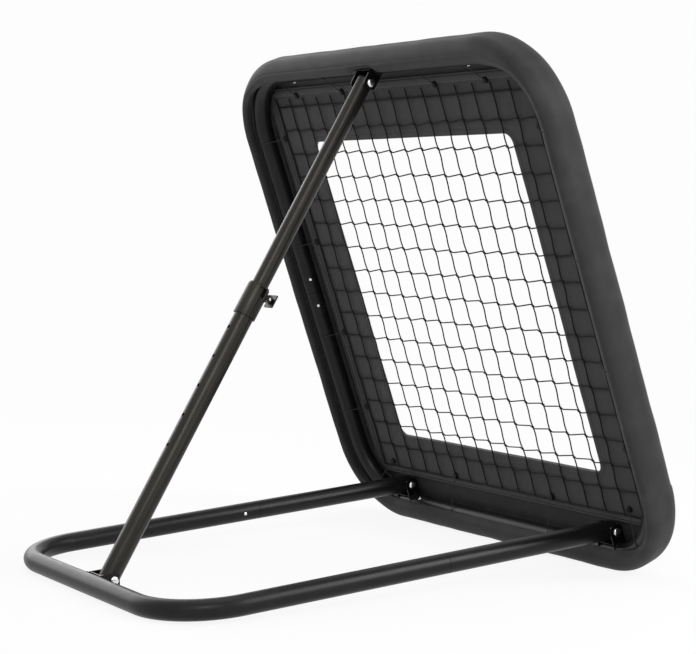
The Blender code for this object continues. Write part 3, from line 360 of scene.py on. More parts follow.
def straight_tube(name, axes, x, profile, along):
    """A tube spun from its closed profile of (radius, distance) about a line through x of the axes."""
    return lathe(name, profile, axes.points((x, 0, 0)), axes.way(*along), 48, True)


def round_tool(centre, axis, radius, start, end):
    """A round cutter along an axis from start to end."""
    return Shape().grid(spun([radius, radius], [start, end], centre, axis, 24), False, True, True).tool()


def bolt_tool(centre):
    """A cutter for the bolt that lies across a tube."""
    return round_tool(centre, (1, 0, 0), BOLT_R + PLAY, -0.03, 0.03)


def cut(obj, *tools):
    """Takes each tool away from a piece and removes the tool."""
    for tool in tools:
        change = obj.modifiers.new("cut", "BOOLEAN")
        change.operation = "DIFFERENCE"
        change.solver = "EXACT"
        change.object = tool
        graph = bpy.context.evaluated_depsgraph_get()
        mesh = bpy.data.meshes.new_from_object(obj.evaluated_get(graph))
        obj.modifiers.clear()
        obj.data = mesh
        bpy.data.objects.remove(tool)
    return obj


def settle(obj, finish, body, stands_for=None, sharp=38, bevel=0.0, slot=None):
    """Gives a piece its shading, its rounded edges, its finish and the body it rides on. The slot name it
    works out, the finish's name where neither `slot` nor OTHER_SLOTS gives another, is not used."""
    obj.data.materials.clear()
    obj.data.materials.append(material(finish))
    obj.data.shade_smooth()
    obj.data.set_sharp_from_angle(angle=math.radians(sharp))
    if bevel:
        edge = obj.modifiers.new("edges", "BEVEL")
        edge.width = bevel
        edge.segments = 3
        edge.limit_method = "ANGLE"
        edge.angle_limit = math.radians(sharp)
        edge.harden_normals = True
    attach(obj, body)
    slot = slot or OTHER_SLOTS.get(finish, finish)
    if stands_for:
        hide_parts(stands_for)


# Finishes

class Wire:
    """A socket in an expression: each operator adds the Math node that works it out."""

    def __init__(self, paint, socket):
        self.paint = paint
        self.socket = socket

    def math(self, operation, *others):
        return self.paint.node("Math", {"operation": operation}, dict(enumerate((self, *others))))

    def __add__(self, other):
        return self.math("ADD", other)

    def __mul__(self, other):
        return self.math("MULTIPLY", other)

    def __sub__(self, other):
        return self.math("SUBTRACT", other)

    def __truediv__(self, other):
        return self.math("DIVIDE", other)

    def __pow__(self, other):
        return self.math("POWER", other)

    __radd__ = __add__
    __rmul__ = __mul__

    def __rsub__(self, other):
        return self.paint.node("Math", {"operation": "SUBTRACT"}, {0: other, 1: self})

    def wave(self):
        return self.math("SINE")

    def size(self):
        return self.math("ABSOLUTE")

    def ramp(self, low, high):
        """0 below low, 1 above high and eased between."""
        settings = {"interpolation_type": "SMOOTHSTEP"}
        return self.paint.node("MapRange", settings, {"Value": self, "From Min": low, "From Max": high})


class Paint:
    """The nodes of a material or of the world."""

    def __init__(self, owner):
        owner.use_nodes = True
        self.tree = owner.node_tree
        self.tree.nodes.clear()

    def node(self, kind, settings=None, inputs=None, output=0):
        """Adds a node: its settings first, then the values or links of its sockets."""
        node = self.tree.nodes.new("ShaderNode" + kind)
        for key, value in (settings or {}).items():
            setattr(node, key, value)
        for key, value in (inputs or {}).items():
            self.feed(node.inputs[key], value)
        return Wire(self, node.outputs[output])

    def feed(self, socket, value):
        if isinstance(value, Wire):
            self.tree.links.new(value.socket, socket)
        else:
            socket.default_value = (*value, 1) if socket.type == "RGBA" else value

    def show(self, shader, output="OutputMaterial"):
        self.feed(self.tree.nodes.new("ShaderNode" + output).inputs[0], shader)

    def places(self, kind="Object", scale=(1, 1, 1), turn=(0, 0, 0)):
        """Object or UV coordinates, turned and scaled."""
        source = self.node("TexCoord", output=kind)
        return self.node("Mapping", None, {"Vector": source, "Rotation": turn, "Scale": scale})

    def noise(self, scale, detail, rough=0.5, places=None):
        """Noise in Object coordinates, or in others."""
        inputs = {"Vector": places or self.places(), "Scale": scale, "Detail": detail, "Roughness": rough}
        return self.node("TexNoise", None, inputs)

    def axis(self, places, which):
        return self.node("SeparateXYZ", None, {0: places}, which)

    def blend(self, share, first, second):
        """A colour between two colours."""
        return self.node("Mix", {"data_type": "RGBA"}, {0: share, 6: first, 7: second}, 2)

    def bump(self, height, distance, strength=0.5):
        return self.node("Bump", None, {"Height": height, "Distance": distance, "Strength": strength})

    def finish(self, **sockets):
        """Shows a Principled shader with these sockets, named in lower case with _ for a space."""
        shader = self.tree.nodes.new("ShaderNodeBsdfPrincipled")
        names = {name.lower().replace(" ", "_"): name for name in shader.inputs.keys()}
        for key, value in sockets.items():
            self.feed(shader.inputs[names[key]], value)
        self.show(Wire(self, shader.outputs[0]))


def shade(rgb, factor):
    return tuple(min(1.0, value * factor) for value in rgb)


def powder_coat(paint, look):
    """Semi-gloss powder coat with fine orange peel and faint dust."""
    peel, dust = paint.noise(700, 2), paint.noise(38, 5, 0.65)
    tint = paint.blend(dust.ramp(0.45, 0.75), look.powder, shade(look.powder, 1.5))
    paint.finish(base_color=tint, roughness=0.29 + 0.12 * dust, specular_ior_level=0.20,
                 normal=paint.bump(peel, 0.00012))


def bracket_paint(paint, look):
    """Glossy black paint with slight waviness and scuffs."""
    wavy, scuff = paint.noise(160, 2), paint.noise(90, 6, 0.7)
    tint = paint.blend(scuff.ramp(0.55, 0.8), look.bracket, shade(look.bracket, 2.5))
    paint.finish(base_color=tint, roughness=0.12 + 0.16 * scuff.ramp(0.45, 0.8), specular_ior_level=0.2,
                 normal=paint.bump(wavy, 0.0002, 0.35))


def prop_paint(paint, look):
    """Bronze-grey metallic paint, streaked along the drawn tube."""
    turned = paint.places(turn=(PROP_LEAN, 0, 0))
    along = paint.node("Mapping", None, {"Vector": turned, "Scale": (1, 1, 0.02)})
    streak, wide = paint.noise(420, 4, 0.6, along), paint.noise(90, 2, places=along)
    fleck = paint.noise(2600, 1)
    tint = paint.blend(streak.ramp(0.3, 0.7), shade(look.prop, 0.72), shade(look.prop, 1.35))
    paint.finish(base_color=tint, metallic=0.72, roughness=0.24 + 0.16 * streak + 0.08 * wide,
                 specular_ior_level=0.3, normal=paint.bump(streak * 0.5 + fleck * 0.15, 0.00005, 0.35))


def edge_skin(paint, look):
    """Coated cloth skin over foam: fine grain, soft pressure marks, and short creases inside the corners,
    which lie within a share of a quarter turn's length from the middle of each bend."""
    on = paint.places("UV")
    grain, soft = paint.noise(1500, 2), paint.noise(26, 4, 0.55)
    walk, girth = paint.axis(on, 0), paint.axis(on, 1)
    quarter = 2 * (HALF_HOOP - HOOP_BEND) + HOOP_BEND * math.pi / 2
    past = (walk / (2 * quarter)).math("FRACT") * 2 * quarter
    bend = HOOP_BEND * math.pi / 4
    from_bend = (past - bend).size().math("MINIMUM", (past - bend - quarter).size())
    near = 1 - from_bend.ramp(bend * 0.8, bend * 1.2)
    lip = 1 - girth.ramp(0.014, 0.030)
    crease = (walk * (math.tau / 0.0135) + soft * 7 + girth * 40).wave().ramp(0.35, 1.0) * near * lip
    height = grain * 0.10 + soft * 0.9 - crease * 0.12
    tint = paint.blend(soft.ramp(0.4, 0.7), look.skin, shade(look.skin, 1.25))
    paint.finish(base_color=tint, roughness=0.46 + 0.12 * soft, specular_ior_level=0.08,
                 sheen_weight=0.03, sheen_roughness=0.5, normal=paint.bump(height, 0.0006, 0.6))


def woven_cloth(paint, look, level=1.0):
    """Plain-woven polyester: a warp and a weft wave that pass over each other. The tint is painted shade of
    the weave, darker between the threads and lighter on their crowns, mixed with random mottle; a `level`
    above 1 paints the whole cloth lighter, a painted highlight.
    """
    pitch, on = 0.0008, paint.places("UV")
    across, up = paint.axis(on, 0), paint.axis(on, 1)
    warp, weft = ((way * (math.tau / pitch)).wave() for way in (across, up))
    checks = (across * (math.pi / pitch)).wave() * (up * (math.pi / pitch)).wave()
    over = checks.math("GREATER_THAN", 0.0)
    weave = warp.size() * over + weft.size() * (1 - over)
    mottle, fuzz = paint.noise(60, 5, 0.6), paint.noise(2200, 2)
    # a level above 1 gives a lighter copy of the same cloth: painted light
    dark, pale = shade(look.cloth, 0.70 * level), shade(look.cloth, 1.40 * level)
    # painted shade: darker between the threads, lighter on their crowns; the mottle is random tone
    tint = paint.blend(weave * 0.6 + mottle * 0.5, dark, pale)
    paint.finish(base_color=tint, roughness=0.82 + 0.12 * fuzz, specular_ior_level=0.25,
                 sheen_weight=0.15, sheen_roughness=0.4,
                 normal=paint.bump(weave * 0.8 + fuzz * 0.3, 0.00018, 0.8))


def twisted(paint, tint, pitch, girth, dark, rough):
    """Twisted strands: a slanting wave of the lengths along and round the cord. The tint is painted shade of
    the twist, darker by the share `dark` in the grooves between the strands and lighter on their crowns,
    mixed with random fuzz.
    """
    on = paint.places("UV")
    wave = (paint.axis(on, 0) * (math.tau / pitch) + paint.axis(on, 1) * (2 * math.tau / girth)).wave()
    strand, fuzz = wave * 0.5 + 0.5, paint.noise(1800, 3)
    # painted shade: the grooves between strands darker, the crowns lighter; the fuzz is random tone
    mix = paint.blend(strand * 0.7 + fuzz * 0.4, shade(tint, dark), shade(tint, 1.3))
    paint.finish(base_color=mix, roughness=rough + 0.15 * fuzz, specular_ior_level=0.15,
                 normal=paint.bump(strand + fuzz * 0.4, 0.00025, 0.8))


def plastic(paint, look):
    """Moulded black plastic with a fine texture."""
    fine, wide = paint.noise(1300, 2), paint.noise(70, 3)
    tint = paint.blend(wide, look.plastic, shade(look.plastic, 1.6))
    paint.finish(base_color=tint, roughness=0.36 + 0.16 * wide, specular_ior_level=0.12,
                 normal=paint.bump(fine, 0.00010, 0.6))


def zinc(paint, look):
    """Bright plated steel with fine turning marks and small dull patches."""
    fine, patch = paint.noise(1900, 3), paint.noise(240, 4, 0.6)
    tint = paint.blend(patch.ramp(0.45, 0.75), look.zinc, shade(look.zinc, 0.72))
    paint.finish(base_color=tint, metallic=1.0, roughness=0.14 + 0.16 * patch,
                 normal=paint.bump(fine, 0.00006))


def spring_steel(paint, look):
    """Drawn spring steel with lengthwise marks."""
    marks = paint.noise(1500, 3, places=paint.places(scale=(1, 0.1, 1)))
    tint = paint.blend(marks, shade(look.steel, 0.6), shade(look.steel, 1.2))
    paint.finish(base_color=tint, metallic=1.0, roughness=0.26 + 0.18 * marks,
                 normal=paint.bump(marks, 0.00005))


FINISHES = {
    "black_powder_coat": powder_coat,
    "gloss_black_paint": bracket_paint,
    "bronze_grey_paint": prop_paint,
    "black_bumper_skin": edge_skin,
    "dark_grey_cloth": woven_cloth,
    # the hem and piping get the same cloth painted 1.3 times lighter: painted light
    "hem_cloth": lambda paint, look: woven_cloth(paint, look, 1.3),
    "stitching_thread": lambda paint, look: twisted(paint, look.thread, 0.0010, 0.0020, 0.6, 0.6),
    "black_net_cord": lambda paint, look: twisted(paint, look.net, 0.0036, 0.0066, 0.5, 0.58),
    "grey_elastic_cord": lambda paint, look: twisted(paint, look.elastic, 0.0020, 0.0075, 0.6, 0.55),
    "black_plastic": plastic,
    "bright_zinc": zinc,
    "spring_steel": spring_steel,
}
OTHER_SLOTS = {"hem_cloth": "dark_grey_cloth", "stitching_thread": None, "grey_elastic_cord": None}
MADE = {}


def material(name):
    if name not in MADE:
        MADE[name] = bpy.data.materials.new(name)
        FINISHES[name](Paint(MADE[name]), bpy.context.scene.rebounder_colours)
    return MADE[name]


# Hoop tubes

def half_hoop(end, far):
    """The centreline of one half of the hoop, from one splice to the other, as (x, rear, height)."""
    corners = np.array([(HALF_HOOP, end), (HALF_HOOP, far), (-HALF_HOOP, far), (-HALF_HOOP, end)])
    return spread(bent(in_hoop(corners, 0.0), HOOP_BEND, 28), 0.04)


def rivet(name, side, height, stands_for):
    """A blind rivet's domed head with the dimple of its drawn pin."""
    turn = math.radians(22)
    way = HOOP.way(-side * math.cos(turn), math.sin(turn), 0)
    centre = HOOP.points((side * HALF_HOOP, 0, height))
    head = bent([(0, 0.0011), (0.0006, 0.0011), (0.0008, 0.0017), (0.0021, 0.0015), (0.0030, 0.0003),
                 (0.0030, -0.0006), (0.0016, -0.0006), (0.0016, -0.0050), (0, -0.0050)], 0.0003, 4)
    settle(lathe(name, head + (0, TUBE_R), centre, way, 28), "bright_zinc", "ring", stands_for)


class REBOUNDER_OT_hoop(bpy.types.Operator):
    """Builds the two bent tube halves of the hoop, their splices and rivets"""
    bl_idname = "rebounder.hoop"
    bl_label = "Hoop tubes"

    def execute(self, context):
        for name, end, far in (("upper", SPLICE + GAP, HOOP_HEIGHT), ("lower", SPLICE - GAP, 0.0)):
            tube = Shape(HOOP).pipe(half_hoop(end, far), TUBE_R, TUBE_BORE, REAR).tool(f"hoop_tube_{name}")
            settle(tube, "black_powder_coat", "ring", f"ring_tube_{name}")
        for side_name, side in SIDES:
            line = np.array([(side * HALF_HOOP, 0, SPLICE + shift) for shift in (-0.05, 0.05)])
            sleeve = Shape(HOOP).pipe(line, NEST_R, NEST_R - WALL, REAR, 40).tool(f"splice_tube_{side_name}")
            settle(sleeve, "black_powder_coat", "ring", f"splice_sleeve_{side_name}")
            for place, shift in (("upper", 0.0265), ("lower", -0.0265)):
                rivet(f"rivet_{side_name}_{place}", side, SPLICE + shift, f"splice_rivet_{side_name}_{place}")
        return {"FINISHED"}


# Padded edge

def edge_section(flap=None, reach=0.040):
    """The padded edge's outline as (outwards, rear) from the tube's centre: arcs end to end from the rear
    lip's inner face over the outer face to the front flange, then back along the tube's recess.

    Without a flap, the lip is a nose on a padded side. With one, a strip lies round the tube's rear up to an
    angle `flap` from the way out, in degrees, and its end is a half circle. The flange reaches inwards by
    `reach`.
    """
    if flap is None:
        nose = arc((0.0178, 0.0237), 195, 90, 14, 0.0060)
        crown = arc((0.0190, 0.0060), 90, 0, 30, 0.0100, 0.0237)
        strip = nose[-1] + np.linspace(0, 1, 24)[1:-1, None] * (crown[0] - nose[-1])
        slot_end = 54
    else:
        middle, half_thick, outside = 0.0219, 0.0017, 0.0236
        a = math.radians(flap)
        nose = arc((middle * math.cos(a), middle * math.sin(a)), flap + 175, flap, 14, half_thick)
        crown = arc((0.0085, 0.0060), 92, 0, 30, 0.0205, 0.0222)
        strip = arc((0, 0), flap, math.degrees(math.atan2(crown[0, 1], crown[0, 0])), 23, outside)[1:-1]
        grows = np.linalg.norm(crown[0]) / outside - 1
        strip *= 1 + grows * eased(np.linspace(0, 1, 22)[:, None])
        slot_end = flap
    front = arc((0.0030, -0.0110), 0, -90, 20, 0.0260, 0.0275)
    corners = [(-0.004, -0.0385), (-reach, -0.0375), (-reach, -0.0225), (-0.004, -0.0225), (0, -0.0150)]
    flange = bent(corners, 0.0040, 5)[1:-1]
    recess = arc((0, 0), -100, 40, 16, 0.0166)
    cord_slot = arc((0, 0), 42, slot_end, 10, 0.0202)
    return np.concatenate([nose, strip, crown, front, flange, recess, cord_slot])


def flap_angle(x, upper):
    """How far round the tube the flap lies: it grows along the top towards the right, and leaves room for the
    clevis by a steep even power of the distance to it."""
    at_foot, at_clevis, clevis_room = 119, 86, 0.036
    along_top = 108 + (0.10 - x) * 18
    along_top += (at_clevis - along_top) * np.exp(-(x / clevis_room) ** 8)
    return at_foot + upper * (along_top - at_foot)


def edge_surface(sizes):
    """The section carried once round the hoop. It blends from a short lip at the sides to a sewn flap along
    the top and bottom by how level the edge runs, swells a little by sums of slow sines, has a sewn groove
    along each flap and a short one inside each corner, and is pressed flat where it stands on the floor."""
    core = (0.004, 0.004)       # the section's middle, which it swells away from
    path = in_hoop(outline((HALF_HOOP, 0, HOOP_HEIGHT), HOOP_BEND, 26, 96), 0.0)
    level = np.abs(unit(np.roll(path, -1, 0) - np.roll(path, 1, 0))[:, :1])
    turned = np.arcsin(np.clip(level, 0, 1)) / (math.pi / 2)
    upper = np.clip((path[:, 2] - 0.3) / 0.24, 0, 1)
    share = eased(np.clip((turned - 0.26) / 0.62, 0, 1))[..., None]
    angles = flap_angle(path[:, 0], upper)
    ends = np.stack([edge_section(angle, 0.058 - 0.018 * high) for angle, high in zip(angles, upper)])
    section = (1 - share) * edge_section() + share * ends
    outwards, rear = section[..., 0], section[..., 1]
    walk = walked(path, True)[:-1, None]
    girth = np.linspace(0, 0.2, section.shape[1])
    swell = np.sin(walk * 31 + 1.0) + 0.7 * np.sin(walk * 53 + 2.2) + 0.5 * np.sin(walk * 97 + girth * 60)
    outer = (1 + np.tanh((outwards - 0.012) / 0.006)) / 2 + (1 + np.tanh((-rear - 0.034) / 0.003)) / 2
    shows = 1 - upper * (1 - np.clip((path[:, 0] + 0.08) / 0.10, 0, 1))
    seam = np.exp(-((outwards - 0.0033 - 0.0052 * upper[:, None]) / 0.0008) ** 2) * shows[:, None]
    seam = seam * np.clip((turned - 0.80) / 0.15, 0, 1)
    corner = np.exp(-((outwards - 0.0155) / 0.0009) ** 2) * np.exp(-((turned - 0.20) / 0.14) ** 2)
    move = sizes.swell * 0.5 * swell * outer - sizes.seam * 0.6 * (seam + 0.8 * corner) * (rear > 0.012)
    profile = section + move[..., None] * unit(section - core)
    points = HOOP.points(carried(path, profile, REAR, True))
    points[..., 2] = np.maximum(points[..., 2], 0.0)
    return points


def pan_screw(name, centre, way, stands_for):
    """A pan-head screw with a cross recess."""
    seat, high = TUBE_R + GAP, 0.0021
    head = bent([(0, high), (0.0026, 0.0019), (0.0036, 0.0010), (0.0036, 0), (0.0017, 0), (0.0017, -0.004),
                 (0, -0.004)], 0.0005, 4)
    obj = lathe(name, head + (0, seat), centre, way, 28)
    first = unit(np.cross(way, (0.3, 0.5, 0.81)))
    second = np.cross(way, first)
    bar = rectangle(-0.0019, -0.0004, 0.0019, 0.0004)
    top = centre + way * (seat + high)
    cut(obj, *[Shape().plate(bar, 0.0022, top, *pair).tool() for pair in ((first, second), (second, -first))])
    settle(obj, "bright_zinc", "ring", stands_for)


class REBOUNDER_OT_edge(bpy.types.Operator):
    """Builds the padded edge round the hoop and its four screws"""
    bl_idname = "rebounder.edge"
    bl_label = "Padded edge"

    def execute(self, context):
        edge = Shape().grid(edge_surface(context.scene.rebounder_soft), True, True).tool("padded_edge")
        settle(edge, "black_bumper_skin", "ring", "ring_bumper", 60)
        lean = math.radians(25)
        screws = {"bottom": (0.247, 0, HOOP.way(0, math.sin(lean), math.cos(lean))),
                  "top": (0.261, HOOP_HEIGHT, HOOP.way(0, 0, -1))}
        for side_name, side in SIDES:
            for level, (x, height, way) in screws.items():
                name = f"screw_{level}_{side_name}"
                pan_screw(name, HOOP.points((side * x, 0, height)), way, "bumper_" + name)
        return {"FINISHED"}


# Border panel

TOGGLES = {
    "left": [(0.379, height) for height in (0.718, 0.515, 0.333, 0.179)],
    "right": [(-0.371, height) for height in (0.717, 0.513, 0.332, 0.182)],
    "top": [(0.297, 0.797), (0.145, 0.797), (-0.133, 0.796), (-0.269, 0.796)],
    "bottom": [(0.341, 0.070), (0.139, 0.068), (-0.139, 0.067), (-0.340, 0.073)],
}


def cloth_rear(flat, ripple):
    """How far the cloth stands behind its plane at (x, height): slow waves, and a small peak at each toggle
    that falls off with the square of the distance."""
    x, height = flat[..., 0], flat[..., 1]
    peak, peak_width = ripple * 1.1, 0.022
    wave = np.sin(x * 23 + height * 9) * 0.5 + np.sin(height * 31 - x * 12 + 1.3) * 0.35
    rear = PANEL_PLACE + ripple * wave
    for place in sum(TOGGLES.values(), []):
        far = np.hypot(x - place[0], height - place[1])
        rear = rear + peak * np.exp(-(far / peak_width) ** 2)
    return rear


def between(inner, outer, shares):
    """Rows of points from one outline to a matching one."""
    return inner + np.asarray(shares)[:, None, None] * (outer - inner)


def cloth_piece(name, flat, ripple, lift, thickness):
    """A sheet over rows of (x, height) points that lies on the rippled cloth, a lift behind it that is one
    number or one for each row."""
    lift = np.broadcast_to(lift, len(flat))[:, None]
    points = np.stack([flat[..., 0], cloth_rear(flat, ripple) + lift, flat[..., 1]], -1)
    obj = Shape(HOOP).grid(points, False, True, uv=flat).tool(name)
    wall = obj.modifiers.new("cloth", "SOLIDIFY")
    wall.thickness = thickness
    wall.offset = 0
    return obj


def stitches(name, size, radius, pitch, ripple, lift):
    """Short stitches end to end along an outline: each one is a low ellipsoid along its way."""
    half_wide, half_high, half_long = 0.00045, 0.00035, pitch * 0.42
    route = spread(outline(size, radius, 6, 60), 0.001, True)
    walk, loop = walked(route, True), np.concatenate([route, route[:1]])
    places = np.linspace(0, walk[-1], int(walk[-1] / pitch), endpoint=False)
    middle, ahead = (np.stack([np.interp(places + more, walk, loop[:, k]) for k in (0, 1)], -1)
                     for more in (0, 0.0005))
    way = unit(ahead - middle)
    across = np.stack([-way[:, 1], way[:, 0]], -1)
    along = np.linspace(-1, 1, 5)[:, None]
    thick = np.sqrt(np.clip(1 - along ** 2, 0, 1))
    a = np.linspace(0, math.tau, 6, endpoint=False)
    wide = (thick * half_wide * np.cos(a))[..., None]
    flat = middle[:, None, None] + (along * half_long)[..., None] * way[:, None, None]
    flat = flat + wide * across[:, None, None]
    rear = cloth_rear(flat, ripple) + lift + thick * half_high * np.sin(a)
    shape = Shape(HOOP)
    for stitch in np.stack([flat[..., 0], rear, flat[..., 1]], -1):
        shape.grid(stitch, False, True)
    return shape.tool(name)


class REBOUNDER_OT_panel(bpy.types.Operator):
    """Builds the stretched cloth border with its window, its hems and their stitching"""
    bl_idname = "rebounder.panel"
    bl_label = "Border panel"

    def execute(self, context):
        sizes = context.scene.rebounder_soft
        ripple, seam = sizes.ripple, 0.0092
        half, low, high = PANEL
        shares = (0, 0.1, 0.35, 0.65, 0.9, 1)
        rows = between(outline(WINDOW, WINDOW_BEND), outline(PANEL, PANEL_BEND), np.linspace(0, 1, 22))
        cloth = cloth_piece("border_cloth", rows, ripple, 0, 0.0009)
        inner = outline((half - 0.008, low + 0.013, high - 0.011), 0.010)
        rim = outline(grown(PANEL, -0.0004), PANEL_BEND - 0.0004)
        puff = 0.00085 + 0.0009 * np.array((0, 0.5, 1, 0.9, 0.5, 0))
        hem = cloth_piece("border_hem", between(inner, rim, shares), ripple, puff, 0.0007)
        fold, turned = (outline(grown(WINDOW, more), WINDOW_BEND + more) for more in (0.0004, 0.011))
        lift = (-0.0062, -0.003, 0.0002, 0.0005, 0.0005, 0.0004, 0.0003, 0.0001)
        lining = cloth_piece("window_hem", between(fold, turned, (0, 0, *shares)), ripple, lift, 0.0006)
        edging = in_hoop(outline(grown(PANEL, 0.0022), 0.032), PANEL_PLACE + 0.0018)
        piping = Shape(HOOP).rod(edging, 0.0013, REAR, 8, True).tool("border_piping")
        seams = [stitches("hem_stitches", grown(PANEL, -0.0002), PANEL_BEND, sizes.stitch, ripple, 0.0012),
                 stitches("window_stitches", grown(WINDOW, seam), WINDOW_BEND + seam, sizes.stitch, ripple,
                          0.0006)]
        settle(cloth, "dark_grey_cloth", "ring", "border_panel")
        # the hem and piping use the same cloth painted lighter: painted light
        for piece, finish in ((lining, "dark_grey_cloth"), (hem, "hem_cloth"), (piping, "hem_cloth"),
                              *((seam, "stitching_thread") for seam in seams)):
            settle(piece, finish, "ring")
        return {"FINISHED"}


# Net

NET_HALF, NET_LOW, NET_HIGH = 0.372, 0.0612, 0.7765


def net_lines(sizes, fine):
    """The net's upright and level cords as (x, height) points, `fine` to a gap. Each level cord runs from the
    top of one knot's step to the foot of the next, and each upright bows by a sine between its knots."""
    gaps, slack = sizes.gaps, 0.0012
    x, height = np.linspace(-NET_HALF, NET_HALF, gaps + 1), np.linspace(NET_LOW, NET_HIGH, gaps + 1)
    at, knots = np.linspace(0, gaps, gaps * fine + 1), np.arange(gaps + 1)
    part = at % 1.0
    step = sizes.step * (0.5 - part) * np.clip(np.minimum(part, 1 - part) * 14, 0, 1)
    bow = sizes.bow * np.sin(part * math.tau)
    edge = np.clip(np.minimum(at, gaps - at), 0, 1)
    lines = []
    for index in range(gaps + 1):
        inside = 0.25 if index in (0, gaps) else 1.0
        move = inside * (bow + slack * np.sin(at * 0.9 + index * 1.7)) * edge
        ends = [(x[index], NET_HIGH + 0.008), (x[index] + 0.001, NET_HIGH + 0.016)]
        lines.append(np.concatenate([np.stack([x[index] + move, np.interp(at, knots, height)], -1), ends]))
        move = inside * (step + slack * np.sin(at * 1.1 + index * 2.3)) * edge
        lines.append(np.stack([np.interp(at, knots, x), height[index] + move], -1))
    return lines


class REBOUNDER_OT_net(bpy.types.Operator):
    """Builds the knotted net behind the border panel"""
    bl_idname = "rebounder.net"
    bl_label = "Net"

    def execute(self, context):
        sizes, fine = context.scene.rebounder_net, 10
        lines = net_lines(sizes, fine)
        last = len(lines) - 1
        thicker = {0: 1.35, 1: 1.6, last - 1: 1.35, last: 1.35}
        shape = Shape(HOOP)
        for number, line in enumerate(lines):
            wave = 0.0004 * np.sin(np.linspace(0, sizes.gaps * math.pi, len(line)) + number * math.pi / 2)
            path = np.stack([line[:, 0], NET_PLACE + wave, line[:, 1]], -1)
            shape.rod(path, sizes.cord / 2 * thicker.get(number, 1.0), REAR, 6)
        rows, sides = np.linspace(0, math.pi, 6)[:, None], np.linspace(0, math.tau, 8, endpoint=False)
        body = np.stack([1.15 * np.sin(rows) * np.cos(sides), 0.8 * np.cos(rows) * np.ones(8),
                         0.8 * np.sin(rows) * np.sin(sides)], -1) * sizes.knot / 2
        for row in range(sizes.gaps + 1):
            for column in range(sizes.gaps + 1):
                across, up = lines[2 * column][row * fine][0], lines[2 * row + 1][column * fine][1]
                knot = Axes((0, 0, 0), 0.5 * math.sin(row * 1.9 + column * 2.7))
                turn = knot.rows[np.ix_((1, 0, 2), (1, 0, 2))]
                shape.grid(np.array((across, NET_PLACE, up)) + body @ turn, False, True)
        settle(shape.tool("knotted_net"), "black_net_cord", "ring", "net", 70)
        return {"FINISHED"}


# Ties

def hoop_tube_at(x, height):
    """The tube's centre nearest a point of the hoop's plane, and the way out of the hoop there."""
    straight = np.array((np.clip(x, HOOP_BEND - HALF_HOOP, HALF_HOOP - HOOP_BEND),
                         np.clip(height, HOOP_BEND, HOOP_HEIGHT - HOOP_BEND)))
    over = np.array((x, height)) - straight
    if min(abs(over)) > 0:
        way = unit(over)
        return straight + way * HOOP_BEND, way
    reach = {(1, 0): HALF_HOOP - x, (-1, 0): HALF_HOOP + x, (0, 1): HOOP_HEIGHT - height, (0, -1): height}
    way = min(reach, key=reach.get)
    return np.array((x, height)) + np.array(way) * reach[way], np.array(way)


def tie(name, x, height, lean):
    """A toggle pressed through the cloth, and its elastic: straight to the tube, then round into the edge."""
    face, radius = PANEL_PLACE + 0.0014, 0.0007
    dome = bent([(0, 0.0058), (0.0042, 0.0053), (0.0052, 0.0038), (0.0052, 0.0014), (0.0058, 0.0008),
                 (0.0058, 0), (0, 0)], 0.0011, 5)
    toggle = lathe(f"toggle_{name}", dome, HOOP.points((x, face, height)), HOOP.way(*REAR), 24)
    settle(toggle, "black_plastic", "ring", f"tie_{name}", slot="black_elastic")
    middle, way = hoop_tube_at(x + lean, height)
    start, reach = face + 0.0036, TUBE_R + radius + 0.0001
    outwards = float((np.array((x + lean, height)) - middle) @ way)
    touch = math.atan2(start, outwards) % math.tau - math.acos(min(1, reach / math.hypot(outwards, start)))
    a = np.linspace(touch, math.radians(46), 14)
    across, up = (middle[k] + reach * np.cos(a) * way[k] for k in (0, 1))
    wrap = np.stack([across, reach * np.sin(a), up], -1)
    path = spread(np.concatenate([[(x, start, height)], wrap]), 0.004)
    cord = Shape(HOOP).rod(path, radius, (way[1], 0, -way[0])).tool(f"elastic_{name}")
    settle(cord, "grey_elastic_cord", "ring")


class REBOUNDER_OT_ties(bpy.types.Operator):
    """Builds the toggles on the cloth and the elastic cords that hold it to the hoop"""
    bl_idname = "rebounder.ties"
    bl_label = "Ties"

    def execute(self, context):
        for edge, places in TOGGLES.items():
            for number, (x, height) in enumerate(places, 1):
                tie(f"{edge}_{number}", x, height, 0.003 if edge == "top" else 0.0)
        return {"FINISHED"}


# Brackets, bolts and nuts

def fork(name, centre, out, wide, inside, ear_width, distance, end, corner, body, stands_for):
    """Two rounded ears on a tube that lies along x, with a web between them and a weld along each foot.

    `out` points from the tube to the bolt and `wide` across the ear. An ear's edge is the tube's circle
    below, and a rectangle with round corners above.
    """
    half, reach, seat, tuck = ear_width / 2, distance + end, TUBE_R + GAP, 0.0006
    top = bent([(half, 0), (half, reach), (-half, reach), (-half, 0)], corner, 10)[1:-1]
    foot = np.linspace(-half, half, 13)
    edge = np.concatenate([np.stack([foot, np.sqrt(seat ** 2 - foot ** 2)], -1), top])
    share = np.linspace(-0.98, 0.98, 60)
    a = (share * math.asin(half / seat))[:, None]
    bead = centre + (TUBE_R + 0.0006) * (np.sin(a) * wide + np.cos(a) * out)
    ripple = ring(1.0, 10) * (0.0013 * (1 + 0.13 * np.sin(share * 48)))[:, None, None]
    shape, welds = Shape(), Shape()
    for side in (1, -1):
        shape.plate(edge, EAR_THICK, centre + np.array((side * (inside + EAR_THICK) / 2, 0, 0)), wide, out)
        route = bead + np.array((side * (inside / 2 + EAR_THICK + 0.0004), 0, 0))
        welds.grid(carried(route, ripple, (1, 0, 0)), False, True, True)
    web = rectangle(-inside / 2 - tuck, tuck - half, inside / 2 + tuck, half - tuck)
    shape.plate(web, 0.0018, centre + out * (seat + 0.0009), (1, 0, 0), wide)
    settle(shape.tool(name), "gloss_black_paint", body, stands_for, bevel=0.0006)
    settle(welds.tool(f"{name}_weld"), "black_powder_coat", body)


